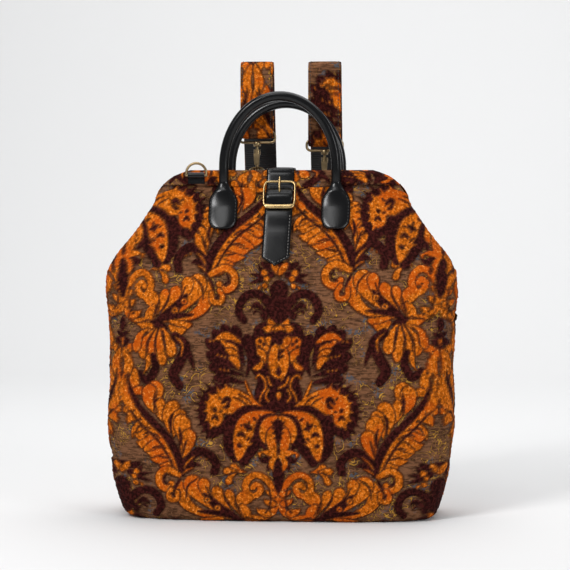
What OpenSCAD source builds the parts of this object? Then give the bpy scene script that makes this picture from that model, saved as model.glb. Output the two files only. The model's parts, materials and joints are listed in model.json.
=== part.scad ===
// Carpet backpack with a hinged mouth frame, rolled handles, buckled closure strap and two clip-on straps.
// The front faces -Y, +Z is up and the base rests on Z = 0. All sizes are in mm.

/* [Bag body] */
// full width at the hinge corners
body_width = 384; // [300:1:460]
// height of the closed mouth above the base
body_height = 376; // [300:1:460]
// full depth at the belly
body_depth = 150; // [110:1:200]
// thickness of the carpet cloth
cloth = 3; // [2:0.5:5]
// height of the carpet sleeve along the mouth frame
sleeve_height = 15.5; // [12:0.5:22]

/* [Handles] */
// spacing between the two legs of a handle
handle_span = 122; // [90:1:150]
// diameter of the rolled leather
handle_dia = 10.7; // [8:0.1:14]
// height of the arch above the mouth
handle_rise = 85; // [60:1:110]
// width of the flared tab
tab_width = 31.5; // [24:0.5:40]
// length of the flared tab below its neck
tab_length = 53; // [40:1:70]
// how much lower the arch of the back handle hangs
back_sag = 6; // [0:0.5:8]
// sideways shift of the back handle
back_shift = 3.5; // [0:0.5:4]

/* [Closure] */
// width of the closure strap
closure_width = 30; // [22:1:38]
// thickness of the closure leather
closure_leather = 2.2; // [1.6:0.1:3]
// distance of the pointed tip below the mouth
tip_drop = 103; // [76:1:130]

/* [Backpack straps] */
// width of the carpet straps
strap_width = 36; // [28:1:40]
// height of the fold at the top of the straps above the mouth
strap_rise = 121; // [100:1:160]
// distance between the two strap centres
strap_spacing = 75; // [70:1:84]
// sideways shift of the pair from the middle
strap_shift = 7.5; // [0:0.5:9]
// how much lower the right top hook hangs
right_drop = 9; // [0:0.5:10]

/* [Metal] */
// wire diameter of rings and hook loops
wire = 2.8; // [2.2:0.1:3.2]
// outer width of the shoulder rings
ring_width = 24.6; // [22:0.2:30]
// distance of the shoulder rings from the middle
ring_x = 91.5; // [85:0.5:95]

/* [Hidden] */
gap = 0.3;
tip_height = body_height - tip_drop;
strap_top = body_height + strap_rise;
shell_rows = 26;
shell_cols = 24;
board_inset = 8;
// rows of the body: share of the height, share of the half width, share of the half depth, roundness
PROFILE = [[0, 0.861, 0.88, 4.2], [0.016, 0.889, 0.9, 4.2], [0.047, 0.911, 0.925, 4.2],
  [0.117, 0.948, 0.96, 4], [0.27, 0.986, 1, 3.8], [0.42, 0.977, 0.985, 3.6], [0.57, 0.98, 0.93, 3.2],
  [0.64, 1, 0.87, 2.8], [0.705, 0.998, 0.78, 2.3], [0.745, 0.949, 0.7, 2.2], [0.82, 0.837, 0.55, 2.2],
  [0.907, 0.723, 0.33, 2.4], [0.931, 0.716, 0.27, 2.7], [0.96, 0.675, 0.2, 3.2], [0.984, 0.617, 0.17, 3.4],
  [0.995, 0.568, 0.14, 3.4], [1.01, 0.44, 0.1, 3.4]];
function column(c) = [for (r = PROFILE) [r[0] * body_height, r[c]]];
WCOL = column(1);
DCOL = column(2);
NCOL = column(3);
blur = 0.012 * body_height;
function eased(z, t) = (lookup(z - blur, t) + 2 * lookup(z, t) + lookup(z + blur, t)) / 4;
// half width, half depth and roundness of the outside of the bag at a height
function half_w(z) = body_width / 2 * eased(z, WCOL);
function half_d(z) = body_depth / 2 * eased(z, DCOL);
function round_n(z) = eased(z, NCOL);
function power(v, e) = sign(v) * pow(abs(v), e);
// point on the front half of a rounded section, a from 0 at the right seam to 180 at the left seam
function rim(z, a, inset) = [
  (half_w(z) - inset) * power(cos(a), 2 / round_n(z)),
  -gap / 2 - max(half_d(z) - inset, 0.5) * power(sin(a), 2 / round_n(z)), z];
// distance of the front face from the middle plane at a sideways position
function face_y(x, z) = gap / 2
  + half_d(z) * pow(max(1 - pow(min(abs(x) / half_w(z), 1), round_n(z)), 0), 1 / round_n(z));

neck_z = body_height - sleeve_height + 4.5;
tab_z = neck_z - tab_length;
seam_z = body_height - sleeve_height;
handle_y = face_y(handle_span / 2, seam_z) + handle_dia / 2 + gap;
hinge_z = 0.713 * body_height;
hinge_x = body_width / 2 - 20;
frame_y = 0.0367 * body_depth;
rod = 1.9;
wire_r = wire / 2;
eye_r = 5;
hook_r = 1.6;
eye_leg = 8;
ring_reach = 18.8;
bar_z = body_height - 6;
loop_r = 5.7;
loop_half = strap_width / 2 + 0.5 + wire_r;
fold_r = 8;
bend = 4;
backing = 1.8;
low_y = body_depth / 2 + 9;
low_loop_z = 66;
low_ring_z = 16;
web_y = low_y + bend;
rear_y = web_y + 1 + gap + backing + 0.15;
strap_end = 165;
adjuster_z = strap_end - 33;
hook_length = 28;
base_n = 4.2;

// closed sweep of rounded rings: list of rings with the same number of points
module sweep(rings) {
  n = len(rings[0]);
  m = len(rings);
  points = [for (r = rings) for (p = r) p];
  sides = [for (i = [0:m - 2]) for (j = [0:n - 1])
    [i * n + j, i * n + (j + 1) % n, (i + 1) * n + (j + 1) % n, (i + 1) * n + j]];
  caps = [[for (j = [n - 1:-1:0]) j], [for (j = [0:n - 1]) (m - 1) * n + j]];
  polyhedron(points, concat(sides, caps), convexity = 6);
}

// half of the bag as a hollow shell between two heights, closed by strips along its four edges
module half_shell(z0, z1, rows, cols, inset, thick) {
  n = cols + 1;
  half = (rows + 1) * n;
  points = [for (k = [0, 1]) for (i = [0:rows]) for (j = [0:cols])
    rim(z0 + (z1 - z0) * i / rows, 180 * j / cols, inset + k * thick)];
  outer = [for (i = [0:rows - 1]) for (j = [0:cols - 1])
    [i * n + j, (i + 1) * n + j, (i + 1) * n + j + 1, i * n + j + 1]];
  inner = [for (f = outer) [f[3] + half, f[2] + half, f[1] + half, f[0] + half]];
  ends = [for (j = [0:cols - 1]) each [[j, j + 1, j + 1 + half, j + half],
    [rows * n + j + 1, rows * n + j, rows * n + j + half, rows * n + j + 1 + half]]];
  sides = [for (i = [0:rows - 1]) each [[(i + 1) * n, i * n, i * n + half, (i + 1) * n + half],
    [i * n + cols, (i + 1) * n + cols, (i + 1) * n + cols + half, i * n + cols + half]]];
  polyhedron(points, concat(outer, inner, ends, sides), convexity = 8);
}

function unit(v) = v / norm(v);
function tangent(p, i) = unit(p[min(i + 1, len(p) - 1)] - p[max(i - 1, 0)]);

// flat band along a path in the YZ plane, between two offsets on its left-hand side
module band(path, width, lo, hi) {
  rings = [for (i = [0:len(path) - 1]) let (t = tangent(path, i), m = [-t[1], t[0]], a = path[i] + m * lo,
    b = path[i] + m * hi) [[-width / 2, a[0], a[1]], [width / 2, a[0], a[1]],
    [width / 2, b[0], b[1]], [-width / 2, b[0], b[1]]]];
  sweep(rings);
}

function arc(cy, cz, r, a0, a1, n) = [for (i = [0:n]) let (a = a0 + (a1 - a0) * i / n)
  [cy + r * cos(a), cz + r * sin(a)]];

// round bar between two points
module bar(a, b, r) {
  d = b - a;
  translate(a) rotate([0, acos(d[2] / norm(d)), atan2(d[1], d[0])]) cylinder(r = r, h = norm(d), $fn = 24);
}

// base and stiffener

module oval_plate(w, d, t) {
  linear_extrude(t)
    polygon([for (a = [0:6:354]) [w * power(cos(a), 2 / base_n), d * power(sin(a), 2 / base_n)]]);
}

module base_panel() {
  color([0.3, 0.18, 0.12]) oval_plate(half_w(0), half_d(0), cloth);
}

module base_board() {
  color([0.6, 0.5, 0.38]) translate([0, 0, cloth + gap])
    oval_plate(half_w(0) - board_inset, half_d(0) - board_inset, 2.5);
}

// carpet panels and lining

module front_panel() {
  color([0.75, 0.38, 0.1]) half_shell(cloth + gap, seam_z, shell_rows, shell_cols, 0, cloth);
}

module back_panel() {
  color([0.68, 0.34, 0.1]) mirror([0, 1, 0])
    half_shell(cloth + gap, seam_z, shell_rows, shell_cols, 0, cloth);
}

module lining() {
  color([0.2, 0.16, 0.15]) {
    half_shell(cloth + 4, 0.66 * body_height, 8, 12, cloth + 0.6, 0.8);
    mirror([0, 1, 0]) half_shell(cloth + 4, 0.66 * body_height, 8, 12, cloth + 0.6, 0.8);
  }
}

// mouth frame, its sleeves and hinge pins

frame_corner = [[0.574 * body_width / 2, bar_z - 4], [0.64 * body_width / 2, seam_z - 11]];

// a corner of the front frame, or its hinge eye for number 2, on the left or right side
function frame_point(s, i) = i < 2 ? [s * frame_corner[i][0], -frame_y, frame_corner[i][1]]
  : [s * hinge_x, -frame_y, hinge_z];

module frame_path(r) {
  for (s = [-1, 1]) {
    for (i = [0, 1]) {
      bar(frame_point(s, i), frame_point(s, i + 1), r);
      translate(frame_point(s, i)) sphere(r = r + 0.2, $fn = 24);
    }
  }
  bar(frame_point(-1, 0), frame_point(1, 0), r);
}

module half_frame() {
  difference() {
    union() {
      frame_path(rod);
      for (s = [-1, 1]) translate([s * hinge_x, -frame_y + 1.5, hinge_z]) rotate([90, 0, 0])
        cylinder(r = 5, h = 3, $fn = 32);
    }
    for (s = [-1, 1]) translate([s * hinge_x, 0, hinge_z]) rotate([90, 0, 0])
      cylinder(r = 1.6, h = 12, $fn = 32);
  }
}

module front_frame() {
  color([0.6, 0.6, 0.62]) half_frame();
}

module back_frame() {
  color([0.6, 0.6, 0.62]) mirror([0, 1, 0]) half_frame();
}

module hinge_pins() {
  color([0.5, 0.5, 0.52]) for (s = [-1, 1]) translate([s * hinge_x, 9, hinge_z]) rotate([90, 0, 0])
    cylinder(r = 1.5, h = 18, $fn = 32);
}

// channel for the frame rod inside a sleeve
module frame_channel() {
  w = rod + 0.9;
  a = frame_corner[0];
  d = frame_corner[1] - a;
  n = [d[1], -d[0]] / norm(d) * w;
  for (s = [0, 1]) mirror([s, 0, 0]) translate([0, w - frame_y, 0]) rotate([90, 0, 0])
    linear_extrude(2 * w) polygon([a + n - d * 0.2, a - n - d * 0.2, a - n + d, a + n + d]);
  translate([-a[0], -frame_y - w, a[1] - w]) cube([2 * a[0], 2 * w, 2 * w]);
}

module half_sleeve() {
  rows = 8;
  cols = 26;
  z0 = seam_z + gap;
  rings = [for (i = [rows:-1:0]) let (z = z0 + (body_height - z0) * i / rows)
    [for (j = [0:cols]) rim(z, 180 * j / cols, 0)]];
  difference() {
    sweep(rings);
    frame_channel();
  }
}

module front_sleeve() {
  color([0.72, 0.36, 0.1]) half_sleeve();
}

module back_sleeve() {
  color([0.66, 0.33, 0.1]) mirror([0, 1, 0]) half_sleeve();
}

// rolled handles with flared tabs, one piece from tab tip to tab tip

half_t = closure_leather * 0.75;
function tab_half(s) = let (w = tab_width / 2, r = handle_dia / 2, k = s / tab_length)
  k < 0.25 ? w * (0.38 + 0.62 * sqrt(max(1 - pow(1 - k / 0.25, 2), 0)))
  : k < 0.54 ? w : r + (w - r) * (0.5 + 0.5 * cos(180 * min((k - 0.54) / 0.46, 1)));
function tab_thick(s) = half_t + (handle_dia / 2 - half_t) * pow(max(s / tab_length - 0.4, 0) / 0.6, 2);
// a leg of a handle shifted sideways by x, at k above the lower end of its tab: it lies on the sloping cloth
function leg(s, k, x) = let (z = tab_z + k, b = tab_thick(k), inner = handle_span / 2 - x - tab_width / 4)
  [s * handle_span / 2 + x, -max(face_y(inner, z) + 0.8 + b * 1.08, k / tab_length * handle_y), z];
leg_s = [for (k = [0, 0.02, 0.06, 0.12, 0.18, 0.25, 0.4, 0.54, 0.64, 0.74, 0.84, 0.92, 1]) tab_length * k];
arch_z = neck_z + 14;
arch_h = handle_rise + body_height - arch_z - handle_dia / 2;
function arch(i, x, sag) = let (a = 180 * i / 24)
  [x - handle_span / 2 * cos(a), -handle_y, arch_z + (arch_h - sag) * sin(a)];
function handle_line(x, sag) = concat([for (k = leg_s) leg(-1, k, x)], [for (i = [0:24]) arch(i, x, sag)],
  [for (i = [12:-1:0]) leg(1, leg_s[i], x)]);
handle_size = concat([for (k = leg_s) [tab_half(k), tab_thick(k)]],
  [for (i = [0:24]) [handle_dia / 2, handle_dia / 2]],
  [for (i = [12:-1:0]) [tab_half(leg_s[i]), tab_thick(leg_s[i])]]);

module handle(x, sag) {
  line = handle_line(x, sag);
  sweep([for (i = [0:len(line) - 1]) let (t = tangent(line, i), u = unit([t[2], 0, -t[0]]), v = cross(t, u),
    s = handle_size[i], e = s[0] > s[1] * 1.5 ? 0.7 : 1)
    [for (a = [0:30:330]) line[i] + u * s[0] * power(cos(a), e) + v * s[1] * power(sin(a), e)]]);
}

module front_handle() {
  color([0.07, 0.07, 0.07]) handle(0, 0);
}

module back_handle() {
  color([0.07, 0.07, 0.07]) mirror([0, 1, 0]) handle(back_shift, back_sag);
}

// closure strap, buckle and the short strap that holds the buckle

buckle_drop = 30;
buckle_z = body_height - buckle_drop;
buckle_len = 32.5;
tip_slope = 0.6;
buckle_wide = closure_width + 6;
buckle_tilt = atan2(face_y(0, buckle_z - 16) - face_y(0, buckle_z + 14), 30);
// distance of the strap from the cloth: over the short strap it rides higher, over the centre bar it humps
function lift(z) = gap + 0.5 + 2.1 * exp(-pow((z - buckle_z + 10) / 18, 4))
  + 4.8 * exp(-pow((z - buckle_z - 2) / 7.5, 2));
front_zs = [for (i = [0:26]) tip_height + (body_height - 3 - tip_height) * i / 26];
back_zs = [for (i = [0:8]) body_height - 3 - 46 * i / 8];
ridge_y = face_y(0, body_height - 3) + gap + 0.7;
closure_line = concat([for (z = front_zs) [-face_y(0, z) - lift(z), z]],
  [for (a = [165:-15:15]) [ridge_y * power(cos(a), 0.5), body_height - 3 + 3.9 * power(sin(a), 0.5)]],
  [for (z = back_zs) [face_y(0, z) + gap + 0.5, z]]);
function on_face() = [0, -face_y(0, buckle_z), buckle_z];

module on_buckle() {
  translate(on_face()) rotate([90 - buckle_tilt, 0, 0]) children();
}

module closure_strap() {
  color([0.06, 0.06, 0.06]) difference() {
    band(closure_line, closure_width, 0, closure_leather);
    rotate([90, 0, 0]) linear_extrude(body_depth) polygon([[-closure_width, tip_height - closure_width],
      [closure_width, tip_height - closure_width], [closure_width, tip_height + tip_slope * closure_width],
      [0, tip_height], [-closure_width, tip_height + tip_slope * closure_width]]);
    on_buckle() translate([-2.4, -4, 2]) cube([4.8, 12.5, 14]);
  }
}

// outline of the buckle with slightly bowed sides
function bowed(x, y, b) = concat([for (k = [-1:0.25:1]) [x + b * (1 - k * k), y * k]],
  [for (k = [1:-0.25:-1]) [-x - b * (1 - k * k), y * k]]);

module buckle_frame() {
  x = buckle_wide / 2 - 0.8;
  y = buckle_len / 2;
  color([0.78, 0.62, 0.3]) on_buckle() {
    translate([0, 0, 6.8]) linear_extrude(2.6) difference() {
      polygon(bowed(x, y, 0.8));
      translate([0, 0.9]) polygon(bowed(x - 1.8, y - 3.9, 0.7));
    }
    translate([1.5 - x, 2.4 - y, 5.9]) cube([2 * x - 3, 2.2, 4.4]);
    for (s = [-1, 1]) translate([s * (x - 0.6) - 0.9, -1.9, 2]) cube([1.8, 3.8, 6]);
    translate([1 - x, 0, 3.4]) rotate([0, 90, 0]) cylinder(r = 1.2, h = 2 * x - 2, $fn = 32);
  }
}

module buckle_prong() {
  color([0.74, 0.58, 0.28]) on_buckle() {
    difference() {
      translate([-1.4, 0, 3.4]) rotate([0, 90, 0]) cylinder(r = 2.4, h = 2.8, $fn = 32);
      translate([-3, 0, 3.4]) rotate([0, 90, 0]) cylinder(r = 1.3, h = 6, $fn = 32);
    }
    bar([0, 1.9, 4.6], [0, 7, 10.4], 1.1);
    bar([0, 7, 10.4], [0, buckle_len / 2 + 3, 11.1], 1.1);
    translate([0, 7, 10.4]) sphere(r = 1.1, $fn = 24);
  }
}

module buckle_chape() {
  color([0.06, 0.06, 0.06]) on_buckle() {
    for (s = [-1, 1])
      translate([s * (closure_width / 4 + 0.2) - closure_width / 4 + 3.4, 0, 3.4]) difference() {
      rotate([0, 90, 0]) cylinder(r = 2.5, h = closure_width / 2 - 6.8, $fn = 32);
      translate([-1, 0, 0]) rotate([0, 90, 0]) cylinder(r = 1.5, h = closure_width, $fn = 32);
    }
    difference() {
      translate([-closure_width / 2 + 3.6, -22, 0.9]) cube([closure_width - 7.2, 21, 1.4]);
      translate([-2.6, -6, 0]) cube([5.2, 12, 6]);
      translate([-closure_width / 2, 0, 3.4]) rotate([0, 90, 0])
        cylinder(r = 1.5, h = closure_width, $fn = 32);
    }
  }
}

// rings and their leather loops, drawn with the straight bar on the X axis and the arch along +Z

module d_ring(r, legs) {
  bar([-r, 0, 0], [r, 0, 0], wire_r);
  for (s = [-1, 1]) {
    translate([s * r, 0, 0]) sphere(r = wire_r, $fn = 24);
    bar([s * r, 0, 0], [s * r, 0, legs], wire_r);
  }
  translate([0, 0, legs]) rotate([90, 0, 0]) rotate_extrude(angle = 180, $fn = 48)
    translate([r, 0]) circle(r = wire_r, $fn = 24);
}

module ring_loop(width, foot) {
  difference() {
    union() {
      rotate([0, 90, 0]) translate([0, 0, -width / 2]) cylinder(r = wire_r + 1.9, h = width, $fn = 40);
      translate([-width / 2, 0.6, -foot]) cube([width, wire_r + 1.3, foot]);
    }
    rotate([0, 90, 0]) translate([0, 0, -width]) cylinder(r = wire_r + gap, h = 2 * width, $fn = 40);
  }
}

// the front ring stands up and the back ring hangs
back_ring_turn = 125;
shoulder_r = ring_width / 2 - wire_r;
shoulder_y = face_y(ring_x - 12, seam_z) + wire_r + 2.3;

// turned outward from upright by an angle
module shoulder_ring(turn) {
  translate([-ring_x, -shoulder_y, bar_z]) rotate([turn, 0, 0]) d_ring(shoulder_r, 2.4);
}

module shoulder_loop() {
  translate([-ring_x, -shoulder_y, bar_z]) ring_loop(2 * shoulder_r - wire - 0.8, 9);
}

module front_ring() {
  color([0.5, 0.41, 0.24]) shoulder_ring(0);
}

module front_ring_loop() {
  color([0.06, 0.06, 0.06]) shoulder_loop();
}

module back_ring() {
  color([0.5, 0.41, 0.24]) rotate([0, 0, 180]) shoulder_ring(back_ring_turn);
}

module back_ring_loop() {
  color([0.06, 0.06, 0.06]) rotate([0, 0, 180]) shoulder_loop();
}

// backpack straps: s is -1 for the left one and 1 for the right one

function strap_x(s) = s * strap_spacing / 2 + strap_shift;
function drop(s) = s > 0 ? right_drop : 0;
function eye_z(s) = bar_z + 9 - drop(s);
ring_y = face_y(strap_spacing / 2 - 12, seam_z) + wire_r + 2.3;
function eye_y(s) = ring_y + sqrt(pow(ring_reach, 2) - pow(eye_z(s) - bar_z, 2));
function loop_z(s) = eye_z(s) + hook_length;
function top_bar(s) = loop_z(s) + 2 * loop_r;

module top_ring(s) {
  color([0.5, 0.41, 0.24]) translate([strap_x(s), ring_y, bar_z])
    rotate([-atan2(eye_y(s) - ring_y, eye_z(s) - bar_z), 0, 0]) d_ring(7.6, ring_reach - 7.6);
}

module top_tab(s) {
  color([0.06, 0.06, 0.06]) translate([strap_x(s), ring_y, bar_z]) mirror([0, 1, 0]) ring_loop(11, 9);
}

// rounded loop that the strap end folds round, lower bar on the X axis
module hook_loop() {
  for (z = [0, 2 * loop_r]) bar([-loop_half, 0, z], [loop_half, 0, z], wire_r);
  for (s = [-1, 1]) {
    bar([s * loop_half, 0, 0], [s * loop_half, 0, 2 * loop_r], wire_r);
    for (z = [0, 2 * loop_r]) translate([s * loop_half, 0, z]) sphere(r = wire_r, $fn = 24);
  }
  difference() {
    translate([0, 0, -4.4]) cylinder(r = 4.2, h = 5, $fn = 36);
    translate([0, 0, -5]) cylinder(r = 1.8, h = 8, $fn = 36);
  }
}

// snap hook below the loop, ring wire at the origin
module hook_body() {
  low = hook_r + wire_r + gap;
  translate([0, 0, eye_r - low]) {
    rotate([90, 180, 90]) rotate_extrude(angle = 180, $fn = 48)
      translate([eye_r, 0]) circle(r = hook_r, $fn = 24);
    bar([0, -eye_r, 0], [0, -eye_r, eye_leg], hook_r);
    translate([0, 0, eye_leg]) rotate([90, 0, 90]) rotate_extrude(angle = 180, $fn = 48)
      translate([eye_r, 0]) circle(r = hook_r, $fn = 24);
    translate([0, -eye_r + 1.5, 0]) rotate([90, 0, 0]) linear_extrude(3)
      polygon([[-2.6, 1.5], [2.6, 1.5], [3.4, eye_leg + eye_r + 1], [-3.4, eye_leg + eye_r + 1]]);
    translate([0, 0, eye_leg + eye_r]) {
      cylinder(r = 3.8, h = 5.6, $fn = 36);
      cylinder(r = 1.5, h = 11.2, $fn = 36);
    }
  }
}

module hook_gate() {
  low = hook_r + wire_r + gap;
  color([0.46, 0.38, 0.22]) translate([0, eye_r, eye_r - low + gap])
    cylinder(r = hook_r - 0.1, h = eye_leg - 1.1, $fn = 32);
}

module at_top(s) {
  translate([strap_x(s), eye_y(s), eye_z(s)]) children();
}

module at_low(s) {
  translate([strap_x(s), low_y, low_loop_z - hook_length]) children();
}

function strap_line(s) = let (y = eye_y(s), b = top_bar(s), t = strap_top - fold_r - 3.2,
  f = y - bend) concat(
  [[y + bend, b + 18], [y + bend, b + 9]],
  [for (p = arc(y, b, bend, 0, -180, 8)) p],
  [for (i = [1:5]) [f, b + (t - b) * i / 6]],
  arc(f + fold_r, t, fold_r, 180, 0, 10),
  [for (i = [1:14]) let (k = i / 14, z = t + (strap_end + 65 - t) * k, g = k * k * (3 - 2 * k))
    [f + 2 * fold_r + (rear_y - f - 2 * fold_r) * g + 16 * sin(180 * k), z]],
  [[rear_y, strap_end + 30], [rear_y, strap_end]]);

module strap_facing(s) {
  color([0.7, 0.36, 0.1]) translate([strap_x(s), 0, 0]) band(strap_line(s), strap_width, 0.15, 3.15);
}

module strap_backing(s) {
  color([0.05, 0.05, 0.05]) translate([strap_x(s), 0, 0])
    band(strap_line(s), strap_width - 1, -0.15 - backing, -0.15);
}

module lower_webbing(s) {
  turn_z = low_loop_z + 2 * loop_r;
  line = concat([[web_y, strap_end + 34], [web_y, strap_end]],
    [for (i = [1:4]) [web_y, strap_end + (turn_z - strap_end) * i / 5]],
    arc(low_y, turn_z, bend, 0, -180, 8),
    [[low_y - bend, turn_z + 12], [low_y - bend, turn_z + 22]]);
  color([0.05, 0.05, 0.05]) translate([strap_x(s), 0, 0]) band(line, strap_width - 1, -1, 1);
}

module adjuster(s) {
  w = strap_width / 2 + 2;
  color([0.5, 0.41, 0.24]) translate([strap_x(s), web_y, adjuster_z]) {
    for (z = [-9, 9]) bar([-w, 3, z], [w, 3, z], 1.5);
    bar([-w, -3, 0], [w, -3, 0], 1.5);
    for (x = [-1, 1]) translate([x * w - 1.5, -4.5, -10.5]) cube([3, 9, 21]);
  }
}

// bar of a lower ring, close to the base at the back
function low_bar(s) = [strap_x(s), face_y(strap_x(s), low_ring_z) + wire_r + 2.4, low_ring_z];

module lower_ring(s) {
  d = [low_y, low_loop_z - hook_length] - [low_bar(s)[1], low_ring_z];
  color([0.5, 0.41, 0.24]) translate(low_bar(s)) rotate([-atan2(d[0], d[1]), 0, 0])
    d_ring(7.6, norm(d) - 7.6);
}

module lower_tab(s) {
  color([0.06, 0.06, 0.06]) translate(low_bar(s)) mirror([0, 1, 0]) ring_loop(11, 9);
}

module left_top_tab() { top_tab(-1); }
module right_top_tab() { top_tab(1); }
module left_top_ring() { top_ring(-1); }
module right_top_ring() { top_ring(1); }
module left_top_loop() { color([0.5, 0.41, 0.24]) at_top(-1) translate([0, 0, hook_length]) hook_loop(); }
module right_top_loop() { color([0.5, 0.41, 0.24]) at_top(1) translate([0, 0, hook_length]) hook_loop(); }
module left_top_hook() { color([0.48, 0.39, 0.23]) at_top(-1) hook_body(); }
module right_top_hook() { color([0.48, 0.39, 0.23]) at_top(1) hook_body(); }
module left_top_gate() { at_top(-1) hook_gate(); }
module right_top_gate() { at_top(1) hook_gate(); }
module left_strap_facing() { strap_facing(-1); }
module right_strap_facing() { strap_facing(1); }
module left_strap_backing() { strap_backing(-1); }
module right_strap_backing() { strap_backing(1); }
module left_lower_webbing() { lower_webbing(-1); }
module right_lower_webbing() { lower_webbing(1); }
module left_adjuster() { adjuster(-1); }
module right_adjuster() { adjuster(1); }
module left_lower_loop() { color([0.5, 0.41, 0.24]) at_low(-1) translate([0, 0, hook_length]) hook_loop(); }
module right_lower_loop() { color([0.5, 0.41, 0.24]) at_low(1) translate([0, 0, hook_length]) hook_loop(); }
module left_lower_hook() { color([0.48, 0.39, 0.23]) at_low(-1) hook_body(); }
module right_lower_hook() { color([0.48, 0.39, 0.23]) at_low(1) hook_body(); }
module left_lower_gate() { at_low(-1) hook_gate(); }
module right_lower_gate() { at_low(1) hook_gate(); }
module left_lower_ring() { lower_ring(-1); }
module right_lower_ring() { lower_ring(1); }
module left_lower_tab() { lower_tab(-1); }
module right_lower_tab() { lower_tab(1); }

base_panel();
base_board();
front_panel();
back_panel();
lining();
front_frame();
back_frame();
hinge_pins();
front_sleeve();
back_sleeve();
front_handle();
back_handle();
closure_strap();
buckle_frame();
buckle_prong();
buckle_chape();
front_ring();
front_ring_loop();
back_ring();
back_ring_loop();
left_top_tab();
right_top_tab();
left_top_ring();
right_top_ring();
left_top_loop();
right_top_loop();
left_top_hook();
right_top_hook();
left_top_gate();
right_top_gate();
left_strap_facing();
right_strap_facing();
left_strap_backing();
right_strap_backing();
left_lower_webbing();
right_lower_webbing();
left_adjuster();
right_adjuster();
left_lower_loop();
right_lower_loop();
left_lower_hook();
right_lower_hook();
left_lower_gate();
right_lower_gate();
left_lower_ring();
right_lower_ring();
left_lower_tab();
right_lower_tab();
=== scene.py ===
"""Carpet backpack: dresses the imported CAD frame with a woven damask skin, leather, webbing and metal."""

import json
import math

import bpy
import numpy as np
from bpy.props import FloatProperty, FloatVectorProperty, PointerProperty
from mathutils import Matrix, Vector


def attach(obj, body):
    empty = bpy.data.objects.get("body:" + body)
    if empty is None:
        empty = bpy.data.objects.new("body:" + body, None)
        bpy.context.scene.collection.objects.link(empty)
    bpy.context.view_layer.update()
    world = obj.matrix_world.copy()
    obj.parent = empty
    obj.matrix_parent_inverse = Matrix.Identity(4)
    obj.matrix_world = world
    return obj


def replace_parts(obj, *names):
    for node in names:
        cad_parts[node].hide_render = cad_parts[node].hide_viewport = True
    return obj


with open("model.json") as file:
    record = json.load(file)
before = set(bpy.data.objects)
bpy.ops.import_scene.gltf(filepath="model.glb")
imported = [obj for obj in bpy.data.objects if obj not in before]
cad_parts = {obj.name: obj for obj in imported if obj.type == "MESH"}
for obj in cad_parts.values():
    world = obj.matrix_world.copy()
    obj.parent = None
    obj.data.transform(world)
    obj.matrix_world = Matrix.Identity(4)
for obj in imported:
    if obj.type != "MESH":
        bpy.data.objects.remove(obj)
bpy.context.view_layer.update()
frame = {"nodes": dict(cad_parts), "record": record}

bl_info = {
    "name": "Carpet backpack",
    "version": (1, 0, 0),
    "blender": (4, 5, 0),
    "location": "View3D > Sidebar > Carpet bag",
    "description": "Builds the cloth, leather and metal looks of a carpet backpack over its CAD frame",
    "category": "Object",
}

MM = 0.001
# one photo pixel at the front of the bag, in mm, and the pixel of the middle of the base
PX = 1.07
PX_X, PX_Y = 282.0, 519.5
# the pattern is moved right and up by these many pixels
CLOTH_X, CLOTH_Y = 3.8, 3.0
# pixels by which the pattern is drawn up near the base, the row where that starts and the rows it takes
BASE_DRAW, DRAW_FROM, DRAW_OVER = 6.0, 455, 60
# front of the cloth and distance of the camera in the photo's scale, in mm
FRONT_Y, CAMERA_FAR = 70.0, 2170.0
# orange strokes wider than this many pixels spread by a little
SPREAD_FROM, SPREAD = 1.9, 0.8
# strength of the painted shadow line of dark pile round each of those, and its width in pixels
GROOVE_SHADE, GROOVE_SHADE_WIDE = 0.75, 0.9
# pixels over which an edge of the pile fades, and how ragged it is
EDGE_SOFT, EDGE_RAG = 1.1, 0.35
# middle line of the palmette, half the width of the repeat and its height, in pixels
MIRROR_X, HALF_REPEAT, REPEAT_HIGH = 280.5, 158, 398
# the palmettes of every second column stand this far above and below the others
BETWEEN = (-197, 201)
# joints of the sprays: pixel, direction of the bloom, scale across of the stem and of the bloom
SPRAY_JOINTS = ((211, 277.5, -1, 1.2, 1), (351, 273, 1, 1.2, 1), (181, 480, 1, 1, 1.12),
                (379.5, 480, -1, 1, 1.12))

# Body shape

# share of the height, share of half the width and of half the depth, and squareness of the section
PROFILE = np.array([
    [0, 0.861, 0.88, 4.2], [0.016, 0.889, 0.9, 4.2], [0.047, 0.911, 0.925, 4.2], [0.117, 0.948, 0.96, 4],
    [0.27, 0.986, 1, 3.8], [0.42, 0.977, 0.985, 3.6], [0.57, 0.98, 0.93, 3.2], [0.64, 1, 0.87, 2.8],
    [0.705, 0.998, 0.78, 2.3], [0.745, 0.949, 0.7, 2.2], [0.82, 0.837, 0.55, 2.2], [0.907, 0.723, 0.33, 2.4],
    [0.931, 0.716, 0.27, 2.7], [0.96, 0.675, 0.2, 3.2], [0.984, 0.617, 0.17, 3.4], [0.995, 0.568, 0.14, 3.4],
    [1.01, 0.44, 0.1, 3.4]])
HEIGHT, WIDTH, DEPTH, SLEEVE = 376.0, 384.0, 150.0, 15.5
SEAM_Z = HEIGHT - SLEEVE


def profile(z, column):
    """Smoothed value of one profile column at heights z (mm)."""
    z = np.asarray(z, float)
    blur = 0.012 * HEIGHT
    f = lambda h: np.interp(h / HEIGHT, PROFILE[:, 0], PROFILE[:, column])
    return (f(z - blur) + 2 * f(z) + f(z + blur)) / 4


def half_w(z):
    """Half width of the bag at heights z, in mm."""
    return WIDTH / 2 * profile(z, 1)


def half_d(z):
    """Half depth of the bag at heights z, in mm."""
    return DEPTH / 2 * profile(z, 2)


def power(v, e):
    """Power of the size of v, with its sign kept."""
    return np.sign(v) * np.abs(v) ** e


def face_y(x, z):
    """Distance of the cloth's face from the middle plane at (x, z), in mm."""
    n = profile(z, 3)
    k = np.clip(np.abs(x) / half_w(z), 0, 1)
    return half_d(z) * np.clip(1 - k ** n, 0, 1) ** (1 / n)


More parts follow.
